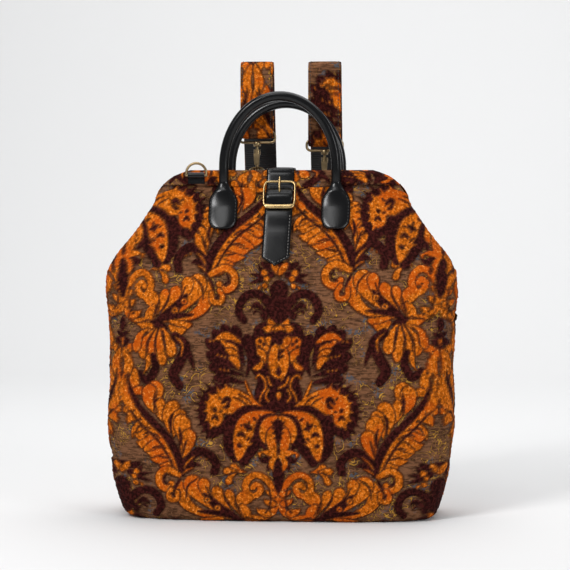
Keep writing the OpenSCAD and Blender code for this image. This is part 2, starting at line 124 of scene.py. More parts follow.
def wobble(a, b, scale, seed):
    """Smooth repeatable unevenness made of a few crossed waves, about -1 to 1."""
    rng = np.random.default_rng(seed)
    total = np.zeros(np.broadcast(a, b).shape)
    turn = 6.283
    for _ in range(7):
        ang, ph, f = rng.uniform(0, turn), rng.uniform(0, turn), rng.uniform(0.6, 1.7) / scale
        total = total + np.sin((a * math.cos(ang) + b * math.sin(ang)) * f * turn + ph)
    return total / 4.0


# Damask pattern

# Strokes are drawn in photo pixels: colour (o orange with painted shade, a ring of dark pile, round it, s
# plain orange, d dark, g ground), half width, shape and a few points.
# Shapes: r round, l leaf pointed at both ends, t teardrop with a blunt start, b teardrop with a blunt end.
PALMETTE = [
    ("d", 3.2, "t", (265, 277), (259, 265.5)), ("d", 3.2, "t", (265, 278), (250.5, 275)),
    ("d", 3, "t", (265, 280), (249.5, 285.5)), ("d", 4.5, "r", (264, 278), (272, 276)),
    ("d", 4, "l", (284, 264), (270, 268), (262, 264)),
    ("d", 9, "t", (280, 286), (280, 303), (280, 326)),
    ("o", 2.6, "l", (273, 264.5), (277, 270), (281, 276)),
    ("o", 2.4, "r", (265, 274), (265.6, 275)), ("o", 2, "r", (267.5, 280), (268.5, 280)),
    ("o", 2, "r", (266, 287), (266.4, 287)), ("o", 1.3, "l", (262, 287), (259, 291)),
    ("d", 4.6, "r", (275, 322), (273.5, 311), (269, 301), (259, 295), (250, 296), (243, 303), (241, 313),
     (246, 321)),
    ("d", 4.6, "t", (272, 314), (265, 306), (257, 305.5), (252, 311)),
    ("d", 5, "t", (268, 312), (260, 309), (255, 315)),
    ("g", 0.6, "l", (268, 310), (260, 302), (252, 303)),
    ("g", 0.6, "l", (265, 314), (259, 310), (255, 311)), ("d", 4, "t", (268, 318), (262, 314)),
    ("d", 5.5, "l", (280, 322), (262, 330), (263, 340)), ("d", 4, "r", (266, 337), (271, 338)),
    ("o", 3, "l", (281, 330), (275, 327), (270.5, 320)),
    ("o", 3.4, "l", (281, 331), (274, 330), (266, 329)),
    ("o", 4.2, "r", (280, 331), (278, 331)),
    ("d", 9, "l", (262, 330), (258, 352), (262, 380)), ("d", 16, "l", (280, 334), (273, 360), (276, 412)),
    ("d", 15, "b", (268, 372), (269, 388), (272, 404)),
    ("o", 7.2, "r", (263.5, 344), (265, 347)), ("d", 1.6, "r", (262, 341), (263, 342)),
    ("d", 1.6, "r", (266, 344), (266.5, 345)), ("d", 1.4, "r", (261, 347), (262, 347)),
    ("d", 1.3, "r", (264, 350), (265, 350)),
    ("o", 3.4, "l", (258, 349), (265, 356), (265, 364)),
    ("o", 2.2, "l", (265, 362), (261, 367), (256, 369)),
    ("o", 9.6, "r", (280, 352), (280, 370)), ("o", 3.2, "r", (271, 340), (276, 346)),
    ("d", 4, "r", (280, 341), (280, 342)), ("d", 1.5, "r", (276, 351), (280, 354)),
    ("d", 1.3, "r", (276, 356), (280, 358)), ("d", 1, "r", (280, 350), (280, 360)),
    ("d", 3, "b", (280, 366), (280, 374)), ("d", 3, "r", (260, 358), (260, 359)),
    ("o", 1.1, "r", (258, 378), (262, 375), (267, 380), (268, 388), (264, 394), (262, 401)),
    ("o", 1.1, "r", (270, 377), (273, 384), (280, 388)), ("o", 1, "r", (271, 389), (268, 396), (271, 401)),
    ("o", 1, "r", (277, 380), (275, 376)), ("o", 2, "t", (280, 393), (280, 400)),
    # wing
    ("d", 7, "b", (248, 378), (254, 356), (249, 338)), ("d", 6.2, "b", (247, 366), (241, 346), (237, 329)),
    ("d", 6.2, "b", (247, 366), (234, 346), (226, 328)),
    ("d", 6.2, "b", (246, 368), (228, 347), (217, 333)),
    ("d", 6, "b", (246, 370), (226, 354), (210, 342)), ("d", 6, "b", (246, 372), (226, 362), (211, 355)),
    ("d", 6, "b", (247, 376), (228, 371), (214, 367)), ("d", 5, "b", (250, 384), (233, 380), (218, 378)),
    ("o", 3, "l", (218, 340), (229, 336.5), (243, 343)), ("o", 3, "l", (223, 341), (235, 349), (238, 352)),
    ("o", 2.8, "l", (228, 350), (236, 354), (240, 361)),
    ("o", 2.8, "l", (231, 358), (238, 361), (241, 369)),
    ("d", 1.2, "l", (227, 343), (234, 342), (240, 346)),
    ("o", 0.9, "r", (212, 342), (212.5, 342)), ("o", 0.9, "r", (216, 341.6), (216.5, 341.6)),
    ("o", 0.9, "r", (219.5, 355.6), (220, 355.6)), ("o", 0.9, "r", (223.5, 356.6), (224, 356.6)),
    ("o", 0.9, "r", (227.5, 357.4), (228, 357.4)), ("o", 0.9, "r", (222.5, 369.6), (223, 369.6)),
    ("o", 0.9, "r", (226.5, 370.4), (227, 370.4)), ("o", 0.9, "r", (230.5, 371), (231, 371)),
    ("o", 1.6, "l", (247, 380), (251, 391), (258, 404)),
]
FANS = [
    # upper fan leaf
    ("d", 6.4, "r", (228, 388), (213, 394.5), (207.5, 406), (207.5, 419), (213, 431)),
    ("d", 2.6, "t", (232, 390), (222, 377.5)), ("d", 2.6, "t", (225, 390), (213, 379.5)),
    ("d", 2.6, "t", (219, 393), (206.5, 383.5)), ("d", 2.6, "t", (214, 397), (201.5, 389)),
    ("d", 2.6, "t", (211, 401), (198, 395.5)), ("d", 2.6, "t", (209, 406), (196.5, 403)),
    ("d", 2.6, "t", (208, 411), (196, 410.5)), ("d", 2.6, "t", (208, 416), (197, 418.5)),
    ("d", 2.6, "t", (209, 421), (199, 426.5)), ("d", 2.6, "t", (211, 426), (202.5, 434)),
    ("d", 2.8, "t", (214, 430), (207.5, 440.5)), ("d", 2.8, "t", (218, 430), (214, 441)),
    ("d", 4.8, "l", (262, 407), (238, 413), (222, 430), (212, 438)),
    ("d", 4, "l", (246, 414), (232, 424), (224, 434)),
    ("s", 10, "t", (225, 398), (244, 400), (274, 414.5)), ("s", 9.4, "r", (220, 402), (218, 411)),
    ("s", 5.6, "l", (220, 411), (236, 407.5), (258, 408)),
    ("s", 7.4, "r", (217, 413), (218, 420)), ("s", 1.8, "t", (230, 391), (227.5, 384)),
    ("s", 1.8, "t", (222, 394), (219, 387.5)), ("s", 1.8, "t", (215, 398), (210.5, 393.5)),
    ("s", 1.8, "t", (212, 404), (206.8, 401.5)), ("s", 1.8, "t", (211, 411), (206, 411.5)),
    ("s", 1.8, "t", (212, 418), (207.4, 421)), ("s", 1.8, "t", (215, 424), (212.5, 429.5)),
    ("d", 2.5, "l", (224, 404), (229, 399), (233, 402)),
    ("d", 1.9, "l", (231, 401), (230, 406), (226, 408)),
    ("d", 1.8, "r", (217, 409.5), (218, 410.6)),
    ("d", 1.7, "l", (214, 419.5), (217.5, 416.5), (220.5, 420)),
    ("d", 0.9, "l", (221, 397), (223.5, 400)), ("d", 1, "l", (222, 412), (225, 411)),
    ("d", 0.7, "l", (236, 397), (244, 401), (249, 406)),
    ("d", 0.7, "l", (240, 394.5), (248, 398), (254, 404)),
    # lower fan leaf
    ("d", 5.6, "r", (266, 411), (249, 410.5), (237, 420), (231, 434), (231.5, 449), (238, 459)),
    ("d", 6, "r", (270, 418), (262, 430), (257, 444), (250, 455), (245, 461)),
    ("d", 6, "r", (246, 456), (246, 463)),
    ("s", 9.4, "l", (276, 413.5), (254, 421), (245.5, 434), (240.5, 460)),
    ("s", 6, "t", (244, 432), (240.5, 445), (240.5, 459.5)), ("s", 1.9, "t", (247, 446), (255, 443)),
    ("d", 2.2, "l", (246, 424), (250, 427), (254.5, 429)), ("d", 1.5, "l", (251.5, 421), (249.5, 431.5)),
    ("d", 2, "l", (239.5, 436), (243.5, 433.5), (247.5, 437)), ("d", 2.2, "r", (241, 445), (242.4, 446)),
    ("d", 1.2, "l", (255, 417), (259, 421)), ("d", 0.9, "l", (261, 415.6), (265, 418.4)),
    ("d", 1, "r", (243.4, 425.4), (243.8, 425.4)), ("d", 0.9, "l", (252, 437), (249, 441)),
]
BUD = [
    ("d", 5, "l", (281, 414), (266, 420), (261, 436), (268, 451)),
    ("d", 4.4, "t", (273, 457), (266, 461), (260, 457)),
    ("d", 3.4, "t", (275, 462), (271, 468), (270, 473)),
    ("d", 5.6, "l", (280, 458), (280, 474), (280, 496)),
    ("s", 4.8, "l", (280, 416), (270, 423), (267, 434), (268.5, 443)),
    ("s", 2, "t", (268, 434), (263.6, 439)),
    ("o", 4, "l", (279, 424), (273.5, 434), (274.5, 446), (280, 457)),
    ("s", 1.8, "t", (272.5, 441), (270, 449)),
    ("d", 4.8, "t", (280, 422), (280, 430), (280, 445)), ("d", 1.7, "t", (278, 424), (273.6, 421.5)),
    ("d", 1.7, "t", (278, 428), (273.4, 427)), ("d", 1.5, "t", (278.5, 432), (274.6, 433)),
    ("d", 1.2, "t", (279, 437), (276.2, 438.5)), ("s", 2.1, "l", (280, 458), (271, 453), (264, 452)),
    ("s", 1.6, "r", (264, 452.5), (261.5, 454), (262, 456)),
    ("s", 2.2, "l", (279, 456), (274, 463), (275.5, 473)),
    ("d", 1.2, "l", (280, 447), (280, 455)),
]
# the spray is drawn from its joint, in pixels: + across is towards the bloom, + down is down
SPRAY_STEM = [
    ("o", 4.6, "t", (-45, -77), (-53, -76), (-57, -82)), ("o", 4, "t", (-52, -70), (-57, -66)),
    ("o", 5.2, "t", (-42, -66), (-50, -60), (-53, -54)),
    ("o", 5.2, "t", (-35, -54), (-44, -48), (-48, -40)),
    ("o", 5.6, "t", (-28, -46), (-38, -42), (-46, -44)),
    ("o", 5.6, "t", (-24, -40), (-36, -34), (-44, -36)),
    ("o", 5.6, "t", (-18, -36), (-30, -30), (-36, -28)),
    ("o", 5.4, "t", (-12, -28), (-24, -24), (-33, -26)),
    ("o", 5.4, "t", (-8, -20), (-20, -18), (-29, -19)), ("o", 4.8, "t", (-5, -12), (-14, -11), (-20, -12)),
    ("o", 4, "t", (-3, -5), (-9, -5), (-14, -7)),
    ("o", 4.4, "l", (-54, -74), (-46, -94), (-45, -110)),
    ("o", 3.4, "l", (-52, -84), (-40, -88), (-36, -84)),
    ("o", 7.6, "b", (-20, -62), (-24, -80), (-24, -93)),
    ("o", 6.5, "b", (-26, -66), (-31, -78), (-29, -90)),
    ("o", 4.4, "b", (-15, -56), (-20, -66), (-19, -78)),
    ("o", 7, "b", (-10, -46), (-11, -62), (-5, -74)), ("o", 6, "b", (-6, -42), (-3, -54), (2, -66)),
    ("o", 8, "b", (3, -24), (5, -42), (2, -60)), ("o", 6.5, "b", (3, -20), (9, -34), (10, -46)),
    ("d", 1.2, "l", (-21, -64), (-25, -76), (-24, -88)), ("d", 1.4, "l", (-26, -76), (-22, -80)),
    ("d", 1.6, "l", (-8, -46), (-9, -58), (-6, -66)), ("d", 1.6, "l", (0, -30), (2, -42), (0, -52)),
    ("d", 1, "l", (3, -22), (6, -34), (8, -40)),
    ("o", 4.2, "l", (-57, -130), (-52, -113), (-57, -97)),
    ("o", 4.2, "l", (-57, -104), (-55, -82), (-47, -66)),
    ("d", 5.4, "t", (1, -5), (-3, -24), (-14, -43), (-29, -59), (-42, -74), (-50, -92), (-53, -108)),
    ("o", 1.3, "r", (-1, -3), (-7, -22), (-18, -41), (-33, -56), (-46, -71), (-55, -90)),
    ("d", 1.1, "r", (-4, -5), (-11, -22), (-22, -39), (-37, -53), (-49, -67)),
    ("d", 0.9, "l", (-13, -30), (-22, -32), (-28, -30)),
    ("d", 0.9, "l", (-20, -42), (-30, -46), (-36, -44)),
    ("d", 0.9, "l", (-28, -50), (-40, -52), (-44, -46)), ("d", 0.9, "l", (-8, -20), (-15, -21), (-22, -23)),
    ("o", 3, "r", (-1, -2), (-12, -8), (-20, -2), (-20, 9), (-13, 14), (-8, 8)),
    ("d", 1.2, "r", (-14, -2), (-16, 5), (-11, 9)),
    ("o", 2.2, "r", (-8, 14), (-11, 21), (-9, 26), (-3, 25), (-2, 17)),
    ("d", 1, "r", (-8, 19), (-5, 22)),
]
SPRAY_BLOOM = [
    ("d", 5, "r", (2, -4), (9, -20), (18, -28), (27, -25), (33, -16), (32, -6)),
    ("d", 4.4, "t", (4, -6), (13, -14), (20, -12)), ("d", 3.6, "t", (32, -8), (28, -3)),
    ("o", 1, "l", (3, -8), (8, -17), (14, -23)), ("o", 0.8, "l", (19, -22), (21, -22)),
    ("o", 0.8, "l", (24, -20), (25.4, -20)), ("o", 1, "l", (2, -3), (8, -8), (13, -10)),
    # bloom
    ("d", 3.4, "l", (1, 0), (-3, 16), (4, 32), (18, 42), (40, 47)),
    ("o", 6.4, "b", (46, 46), (20, 40), (5, 28), (4, 8)),
    ("o", 8.6, "b", (50, 46), (28, 30), (14, 14), (12, 4)),
    ("o", 5, "b", (36, 32), (24, 16), (22, 4)), ("o", 5, "b", (50, 44), (38, 26), (33, 13)),
    ("o", 4, "b", (56, 44), (48, 28), (44, 16)), ("o", 4.4, "b", (58, 46), (54, 32), (57, 18)),
    ("o", 3.6, "l", (62, 48), (60, 38), (55, 30)),
    ("d", 0.9, "l", (6, 24), (8, 10), (18, 0)), ("d", 1, "l", (44, 42), (30, 24), (24, 10)),
    ("d", 1, "l", (50, 40), (42, 26), (40, 18)), ("d", 1, "l", (55, 42), (52, 32), (50, 24)),
    ("d", 5, "l", (54, 46), (38, 36), (22, 18)), ("d", 3, "l", (50, 45), (34, 40), (16, 38)),
    ("o", 2.2, "r", (25, 25), (25.6, 25.4)), ("o", 2.2, "r", (34, 34), (34.6, 34.4)),
    ("d", 0.9, "r", (25.2, 25.2), (25.4, 25.2)), ("d", 0.9, "r", (34.2, 34.2), (34.4, 34.2)),
    # scroll
    ("s", 2.9, "r", (60, 44), (74, 45), (81.3, 41), (85, 35.5), (86.2, 23), (83, 11), (76.7, 0.5), (68, -3),
     (61.2, 3), (59.6, 12), (64.2, 20), (70.4, 18.6), (73, 11.6), (69, 7.4), (66, 11)),
    ("d", 0.8, "r", (60, 44), (74, 47.8), (83, 43.5)), ("s", 3, "t", (65, 20), (61, 27), (57.5, 30)),
    ("o", 3, "t", (86, 18), (81, 17), (77.5, 14)), ("o", 3, "t", (85, 29), (79, 27), (76, 23.5)),
    ("o", 3.4, "t", (79.5, 40), (73, 38), (69, 34.5)),
    ("d", 0.8, "r", (80.5, 12), (82, 22), (81, 32), (77, 39)),
    # small three-leaf bud
    ("o", 3, "b", (60, -6), (53, -8), (48, -13)), ("o", 3, "b", (53, -7), (46, -8), (42, -7)),
    ("o", 2.8, "b", (52, -6), (46, 0), (44, 6)),
    # fan of petals under the bloom
    ("d", 6, "l", (42, 52), (54, 50), (66, 52)), ("o", 3.6, "l", (40, 45), (28, 49), (18, 48)),
    ("o", 3.4, "l", (40, 49), (32, 55), (24, 53)), ("o", 4, "t", (58, 52), (66, 50), (74, 48)),
    ("o", 5, "b", (54, 52), (64, 66), (66, 80)), ("o", 5, "b", (52, 52), (58, 68), (57, 86)),
    ("o", 5, "b", (49, 52), (50, 68), (47, 86)), ("o", 5, "b", (46, 52), (40, 64), (38, 78)),
    ("o", 3.6, "b", (60, 52), (70, 60), (74, 74)), ("d", 1, "l", (51, 54), (54, 66), (52, 80)),
    ("d", 1, "l", (54, 54), (61, 66), (62, 78)), ("d", 1, "l", (47, 54), (45, 64), (43, 76)),
    ("d", 5.6, "r", (34, 60), (24, 70), (30, 86), (36, 98), (30, 109)),
    ("d", 3, "t", (22, 72), (17, 86), (15, 94)),
    ("o", 1.1, "l", (34, 60), (27, 68), (28, 80)), ("d", 4.4, "r", (56, 80), (54, 92), (62, 104), (70, 98)),
    ("o", 2, "t", (61, 80), (62, 90), (66, 98)),
    ("o", 1.4, "r", (46, 53), (46.6, 53)), ("o", 1.6, "r", (60, 50), (60.6, 50)),
]
# dark flower that stands over the fan of petals on the second mirror line
SIDE_FLOWER = [
    ("d", 4, "l", (122, 318), (122, 334)), ("d", 3.4, "t", (122, 338), (115, 333)),
    ("d", 3.4, "t", (122, 338), (129, 333)),
    ("d", 4.4, "r", (117, 343), (127, 343)), ("d", 3.6, "t", (122, 340), (122, 358)),
    ("o", 1.5, "t", (122, 340), (122, 348)),
    ("o", 3, "l", (126, 360), (130, 350), (138, 350)), ("o", 3, "l", (118, 360), (114, 350), (106, 350)),
]


def smooth_path(points, n):
    """Points along a Catmull-Rom curve through the given ones."""
    p = np.asarray(points, float)
    if len(p) == 2:
        return p[0] + (p[1] - p[0]) * np.linspace(0, 1, max(n // 2, 2))[:, None]
    q = np.vstack([2 * p[0] - p[1], p, 2 * p[-1] - p[-2]])
    t = np.linspace(0, len(p) - 1 - 1e-9, n)
    i = t.astype(int)
    f = (t - i)[:, None]
    a, b, c, d = q[i], q[i + 1], q[i + 2], q[i + 3]
    square, cube = 2 * a - 5 * b + 4 * c - d, 3 * b - a - 3 * c + d
    return 0.5 * (2 * b + (c - a) * f + square * f ** 2 + cube * f ** 3)


def stroke_width(shape, t):
    """Share of the half width along a stroke, t from 0 to 1."""
    if shape == "r":
        return 0.82 + 0.18 * np.sin(np.pi * t)
    if shape == "l":
        return 0.12 + 0.88 * np.sin(np.pi * t) ** 0.7
    u = t if shape == "t" else 1 - t
    return np.clip(1.04 - u ** 1.6, 0.06, 1) * np.clip(0.55 + 4 * u, 0, 1)


def spray_strokes(strokes, jx, jy, side, across):
    """Strokes of the spray placed at a joint: side is the direction of the bloom, across a scale."""
    return [(c, w, s) + tuple((jx + side * across * x, jy + y) for x, y in pts) for c, w, s, *pts in strokes]


def shifted(strokes, dx, dy, axis=None):
    """Strokes moved by (dx, dy), mirrored about x = axis first if one is given."""
    return [(c, w, s) + tuple(((2 * axis - x if axis else x) + dx, y + dy) for x, y in pts)
            for c, w, s, *pts in strokes]


def all_strokes():
    """Every stroke of the cloth, in painting order, for the whole repeat and its neighbours."""
    out = []
    for axis in (None, MIRROR_X):
        out += shifted(SIDE_FLOWER, 0, 0, axis)
    heights = (-REPEAT_HIGH, 0, REPEAT_HIGH)
    for i in (-2, 0, 2, 4):
        for dy in heights:
            for x, y, side, stem, bloom in SPRAY_JOINTS:
                out += spray_strokes(SPRAY_BLOOM, x + HALF_REPEAT * i, y + dy, side, bloom)
                out += spray_strokes(SPRAY_STEM, x + HALF_REPEAT * i, y + dy, side, stem)
    for i in range(-2, 5):
        for dy in heights if i % 2 == 0 else BETWEEN:
            for axis in (None, MIRROR_X):
                out += shifted(PALMETTE + FANS + BUD, HALF_REPEAT * i, dy, axis)
    return out


def soft_edge(distance):
    """Coverage, 0 to 1, at a distance in pixels outside a stroke's edge."""
    return np.clip(0.5 - distance / EDGE_SOFT, 0, 1)


def damask(px, py):
    """Coverage of orange and of dark pile at pixels (px, py), each 0 to 1.

    Each stroke is the set of points nearer to a smooth curve than its half width there; edges are a little
    ragged, as woven pile is, and later strokes cover earlier ones.
    """
    orange, dark = np.zeros(px.shape), np.zeros(px.shape)
    rag = 0.5 * np.sin(px * 2.1 + 1.7 * np.sin(py * 1.3)) + 0.5 * np.sin(py * 2.3 + 1.9 * np.sin(px * 1.1))
    for colour, width, shape, *points in all_strokes():
        if colour in "os" and width > SPREAD_FROM:
            width += SPREAD
        path = smooth_path(points, max(6, 5 * len(points)))
        lo, hi = path.min(0) - width - 2, path.max(0) + width + 2
        near = np.nonzero((px > lo[0]) & (px < hi[0]) & (py > lo[1]) & (py < hi[1]))[0]
        if not len(near):
            continue
        q = np.stack([px[near], py[near]], 1)
        best = np.full(len(near), 1e9)
        steps = len(path) - 1
        for k in range(steps):
            a, d = path[k], path[k + 1] - path[k]
            t = np.clip(((q - a) @ d) / max(d @ d, 1e-9), 0, 1)
            dist = np.hypot(*(q - a - t[:, None] * d).T)
            best = np.minimum(best, dist - width * stroke_width(shape, (k + t) / steps))
        cover = soft_edge(best + EDGE_RAG * rag[near])
        # painted shade: a ring of dark pile round each wide orange stroke stands for the shadow line at its
        # edge
        if colour == "o" and width > SPREAD_FROM:
            groove = GROOVE_SHADE * soft_edge(best - GROOVE_SHADE_WIDE + EDGE_RAG * rag[near])
            dark[near] = dark[near] * (1 - groove) + groove
            orange[near] *= 1 - groove
        if colour in "os":
            orange[near] = orange[near] * (1 - cover) + cover
            dark[near] *= 1 - cover
        else:
            dark[near] = dark[near] * (1 - cover) + (cover if colour == "d" else 0)
            orange[near] *= 1 - cover
    return orange, dark


# Meshes

def grid_faces(rows, cols, wrap=False):
    """Quads of a grid of rows x cols points, optionally closed across the columns."""
    r, c = np.meshgrid(np.arange(rows - 1), np.arange(cols if wrap else cols - 1), indexing="ij")
    n = (c + 1) % cols
    return np.stack([r * cols + c, r * cols + n, (r + 1) * cols + n, (r + 1) * cols + c], -1).reshape(-1, 4)


def make_mesh(name, verts, faces, material, attributes=None, slot=None, caps=()):
    """Smooth mesh object in metres from points in mm, on the bag, with float point attributes."""
    mesh = bpy.data.meshes.new(name)
    every = np.asarray(faces).tolist() + np.asarray(caps, int).tolist()
    mesh.from_pydata((np.asarray(verts, float).reshape(-1, 3) * MM).tolist(), [], every)
    for key, values in (attributes or {}).items():
        layer = mesh.attributes.new(key, "FLOAT", "POINT")
        layer.data.foreach_set("value", np.asarray(values, np.float32).ravel())
    mesh.polygons.foreach_set("use_smooth", [True] * len(mesh.polygons))
    mesh.materials.append(material)
    mesh.update()
    obj = bpy.data.objects.new(name, mesh)
    bpy.context.scene.collection.objects.link(obj)
    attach(obj, "bag")
    return obj


def sweep_mesh(name, rings, material, **kw):
    """Closed tube through rings of points (stations x points x 3), its ends capped."""
    rings = np.asarray(rings, float)
    m, n = rings.shape[:2]
    caps = [list(range(n))[::-1], [(m - 1) * n + j for j in range(n)]]
    return make_mesh(name, rings.reshape(-1, 3), grid_faces(m, n, True), material, caps=caps, **kw)


def tangents(path):
    """Unit directions along a path of points."""
    t = np.gradient(np.asarray(path, float), axis=0)
    return t / np.linalg.norm(t, axis=1)[:, None]


# Materials

class Sock:
    """A node socket with arithmetic: each operation adds a Math node."""

    def __init__(self, tree, socket):
        self.tree, self.socket = tree, socket

    def math(self, op, *others, swap=False):
        """A Math node of this value and others, the other way round if swapped."""
        node = self.tree.nodes.new("ShaderNodeMath")
        node.operation = op
        terms = [self, *others]
        for slot, term in zip(node.inputs, terms[::-1] if swap else terms):
            if isinstance(term, Sock):
                self.tree.links.new(term.socket, slot)
            else:
                slot.default_value = term
        return Sock(self.tree, node.outputs[0])

    def __add__(self, o):
        return self.math("ADD", o)

    __radd__ = __add__

    def __mul__(self, o):
        return self.math("MULTIPLY", o)

    __rmul__ = __mul__

    def __sub__(self, o):
        return self.math("SUBTRACT", o)

    def __rsub__(self, o):
        return self.math("SUBTRACT", o, swap=True)

    def __abs__(self):
        return self.math("ABSOLUTE")


class Look:
    """A material with one Principled shader and helpers that add nodes to it."""

    def __init__(self, name, **constants):
        self.material = bpy.data.materials.new(name)
        self.material.use_nodes = True
        self.tree = self.material.node_tree
        self.shader = self.tree.nodes["Principled BSDF"]
        for key, value in constants.items():
            self.shader.inputs[key.replace("_", " ")].default_value = value

    def node(self, kind, out=0, settings=None, **inputs):
        """Any node by type: settings are its properties, inputs its sockets by name with _ for a space."""
        node = self.tree.nodes.new(kind)
        for key, value in (settings or {}).items():
            setattr(node, key, value)
        for key, value in inputs.items():
            by_number = key[0] == "i" and key[1:].isdigit()
            socket = node.inputs[int(key[1:]) if by_number else key.replace("_", " ")]
            if isinstance(value, Sock):
                self.tree.links.new(value.socket, socket)
            else:
                socket.default_value = value
        return Sock(self.tree, node.outputs[out])

    def attribute(self, name):
        """A float attribute of the mesh."""
        return self.node("ShaderNodeAttribute", 2, {"attribute_name": name})

    def place(self, x=1.0, y=1.0, z=1.0):
        """Object coordinates, stretched along the axes."""
        coord = self.node("ShaderNodeTexCoord", 3)
        return self.node("ShaderNodeMapping", 0, None, Vector=coord, Scale=(x, y, z))

    def noise(self, scale, detail=2.0, distort=0.0, stretch=(1, 1, 1)):
        """Noise on the object's coordinates, about 0.5."""
        return self.node("ShaderNodeTexNoise", 0, None, Vector=self.place(*stretch), Scale=scale,
                         Detail=detail, Distortion=distort)

    def step(self, value, lo, hi):
        """Smooth step of value from lo to hi."""
        return self.node("ShaderNodeMapRange", 0, {"interpolation_type": "SMOOTHSTEP"}, Value=value,
                         From_Min=lo, From_Max=hi)

    def mix(self, share, a, b):
        """Colour between a and b."""
        as_colour = lambda c: c if isinstance(c, Sock) else (*c, 1.0)
        return self.node("ShaderNodeMix", 2, {"data_type": "RGBA", "blend_type": "MIX"}, i0=share,
                         i6=as_colour(a), i7=as_colour(b))

    def feed(self, **sockets):
        """Link values to the shader's sockets and give the finished material."""
        for key, value in sockets.items():
            self.tree.links.new(value.socket, self.shader.inputs[key.replace("_", " ")])
        return self.material

    def bump(self, height, distance, strength=1.0):
        """Normal of a relief, distance in metres."""
        return self.node("ShaderNodeBump", 0, None, Height=height, Distance=distance, Strength=strength)


def carpet_look(props):
    """Woven damask: orange and dark cut pile over a flat taupe ground with blue flecks and gold threads, with
    painted shade and highlights in the pile.
    """
    k = Look("carpet", Roughness=0.95, Specular_IOR_Level=0.06)
    shade = lambda colour, f: tuple(c * f for c in colour)
    orange, dark = k.attribute("orange"), k.attribute("dark")
    tuft = k.noise(330, 3, 0.4)
    fine = k.noise(760, 2)
    broad = k.noise(60, 2)
    weft = k.noise(260, 2, 0.3, (0.45, 0.45, 2.2))
    ground = k.mix(k.step(weft * 0.7 + broad * 0.3, 0.36, 0.62), shade(props.ground, 0.4),
                   shade(props.ground, 1.35))
    ground = k.mix(k.step(k.noise(420, 2, 0.5), 0.58, 0.7) * 0.55, ground, shade(props.ground, 2.1))
    fleck = k.step(k.noise(46, 1), 0.55, 0.66) * k.step(k.noise(300, 2, 0.8), 0.5, 0.6)
    ground = k.mix(fleck * 0.75, ground, tuple(props.fleck))
    line = k.noise(52, 1.5, 2.2)
    thread = (1 - k.step(abs(line - 0.5), 0.006, 0.022)) * k.step(k.noise(24, 1), 0.43, 0.54)
    ground = k.mix(thread * 0.85, ground, tuple(props.thread))
    # painted shade and highlights: the orange pile is mixed from a darker shaded copy between the tufts,
    # deeper redder patches of painted shade and a lighter copy as a painted highlight on the tufts' tips
    orange_painted_light = k.mix(k.step(tuft * 0.75 + broad * 0.25, 0.36, 0.6), shade(props.orange, 0.36), tuple(props.orange))
    orange_painted_light = k.mix(k.step(k.noise(34, 1), 0.46, 0.66) * 0.75, orange_painted_light, tuple(props.orange_painted_shade))
    orange_painted_light = k.mix(k.step(fine * 0.5 + tuft * 0.5, 0.55, 0.68), orange_painted_light, tuple(props.orange_painted_highlight))
    # painted shade and highlights: the dark pile is mixed from a darker and a lighter copy of itself over the
    # tufts
    dark_painted_light = k.mix(k.step(tuft, 0.38, 0.68), shade(props.dark, 0.5), shade(props.dark, 1.8))
    colour = k.mix(dark, ground, dark_painted_light)
    colour = k.mix(orange, colour, orange_painted_light)
    # painted shadow: a dark line along the edges of the orange pile
    edge = orange * (1 - orange) * 4
    colour = k.mix(edge * 0.55, colour, shade(props.dark, 0.4))
    height = (tuft * 0.75 + fine * 0.35) * (orange + dark) + weft * 0.4 + thread * 0.3
    return k.feed(Base_Color=colour, Normal=k.bump(height, 0.003, 0.85))


def leather_look():
    """Black polished leather with a faint grain."""
    k = Look("leather", Base_Color=(0.003, 0.003, 0.0034, 1), Specular_IOR_Level=0.32)
    grain = k.noise(700, 2)
    return k.feed(Roughness=k.noise(60, 2) * 0.1 + 0.19, Normal=k.bump(grain, 0.00008, 0.3))


def webbing_look():
    """Black ribbed webbing."""
    k = Look("webbing", Roughness=0.8, Base_Color=(0.012, 0.012, 0.013, 1))
    rib = k.node("ShaderNodeTexWave", 1, {"bands_direction": "Z"}, Vector=k.place(), Scale=130.0,
                 Distortion=0.4)
    return k.feed(Normal=k.bump(rib, 0.0005, 0.7))


def metal_look(name, colour, rough):
    """Metal with darker worn patches."""
    k = Look(name, Metallic=1.0)
    wear = k.noise(160, 3)
    tone = k.mix(k.step(wear, 0.3, 0.75), tuple(c * 0.7 for c in colour), colour)
    return k.feed(Base_Color=tone, Roughness=wear * 0.16 + (rough - 0.06))


def plain_look(name, colour, rough):
    """One even colour and roughness."""
    return Look(name, Base_Color=(*colour, 1), Roughness=rough).material


LOOKS = {}


# Settings

def colour_setting(name, description, default):
    """A colour that the user can change."""
    return FloatVectorProperty(name=name, description=description, subtype="COLOR", default=default)


def length_setting(name, description, default):
    """A length in metres that the user can change."""
    return FloatProperty(name=name, description=description, default=default, unit="LENGTH")


class BagColours(bpy.types.PropertyGroup):
    """Colours of the carpet"""
    orange: colour_setting("Orange", "Bright pile", (0.7, 0.165, 0.008))
    # painted highlight: the lighter colour given to the tips of the bright pile
    orange_painted_highlight: colour_setting("Lit orange", "Tips of the bright pile", (0.95, 0.39, 0.085))
    # painted shade: the deeper colour of the redder patches over the bright pile
    orange_painted_shade: colour_setting("Deep orange", "Redder patches of the bright pile", (0.54, 0.082, 0.004))
    dark: colour_setting("Dark", "Dark pile", (0.034, 0.0062, 0.005))
    ground: colour_setting("Ground", "Flat weave", (0.14, 0.062, 0.03))
    fleck: colour_setting("Fleck", "Blue flecks", (0.06, 0.085, 0.11))
    thread: colour_setting("Thread", "Gold threads", (0.55, 0.28, 0.04))


class BagSizes(bpy.types.PropertyGroup):
    """Sizes of the cloth's relief"""
    pile: length_setting("Pile", "Height of the cut pile over the ground", 0.002)
    slack: length_setting("Slack", "Depth of soft dents in the cloth", 0.0022)
    droop: length_setting("Droop", "Sag of the mouth sleeve in its middle", 0.004)


# Pieces

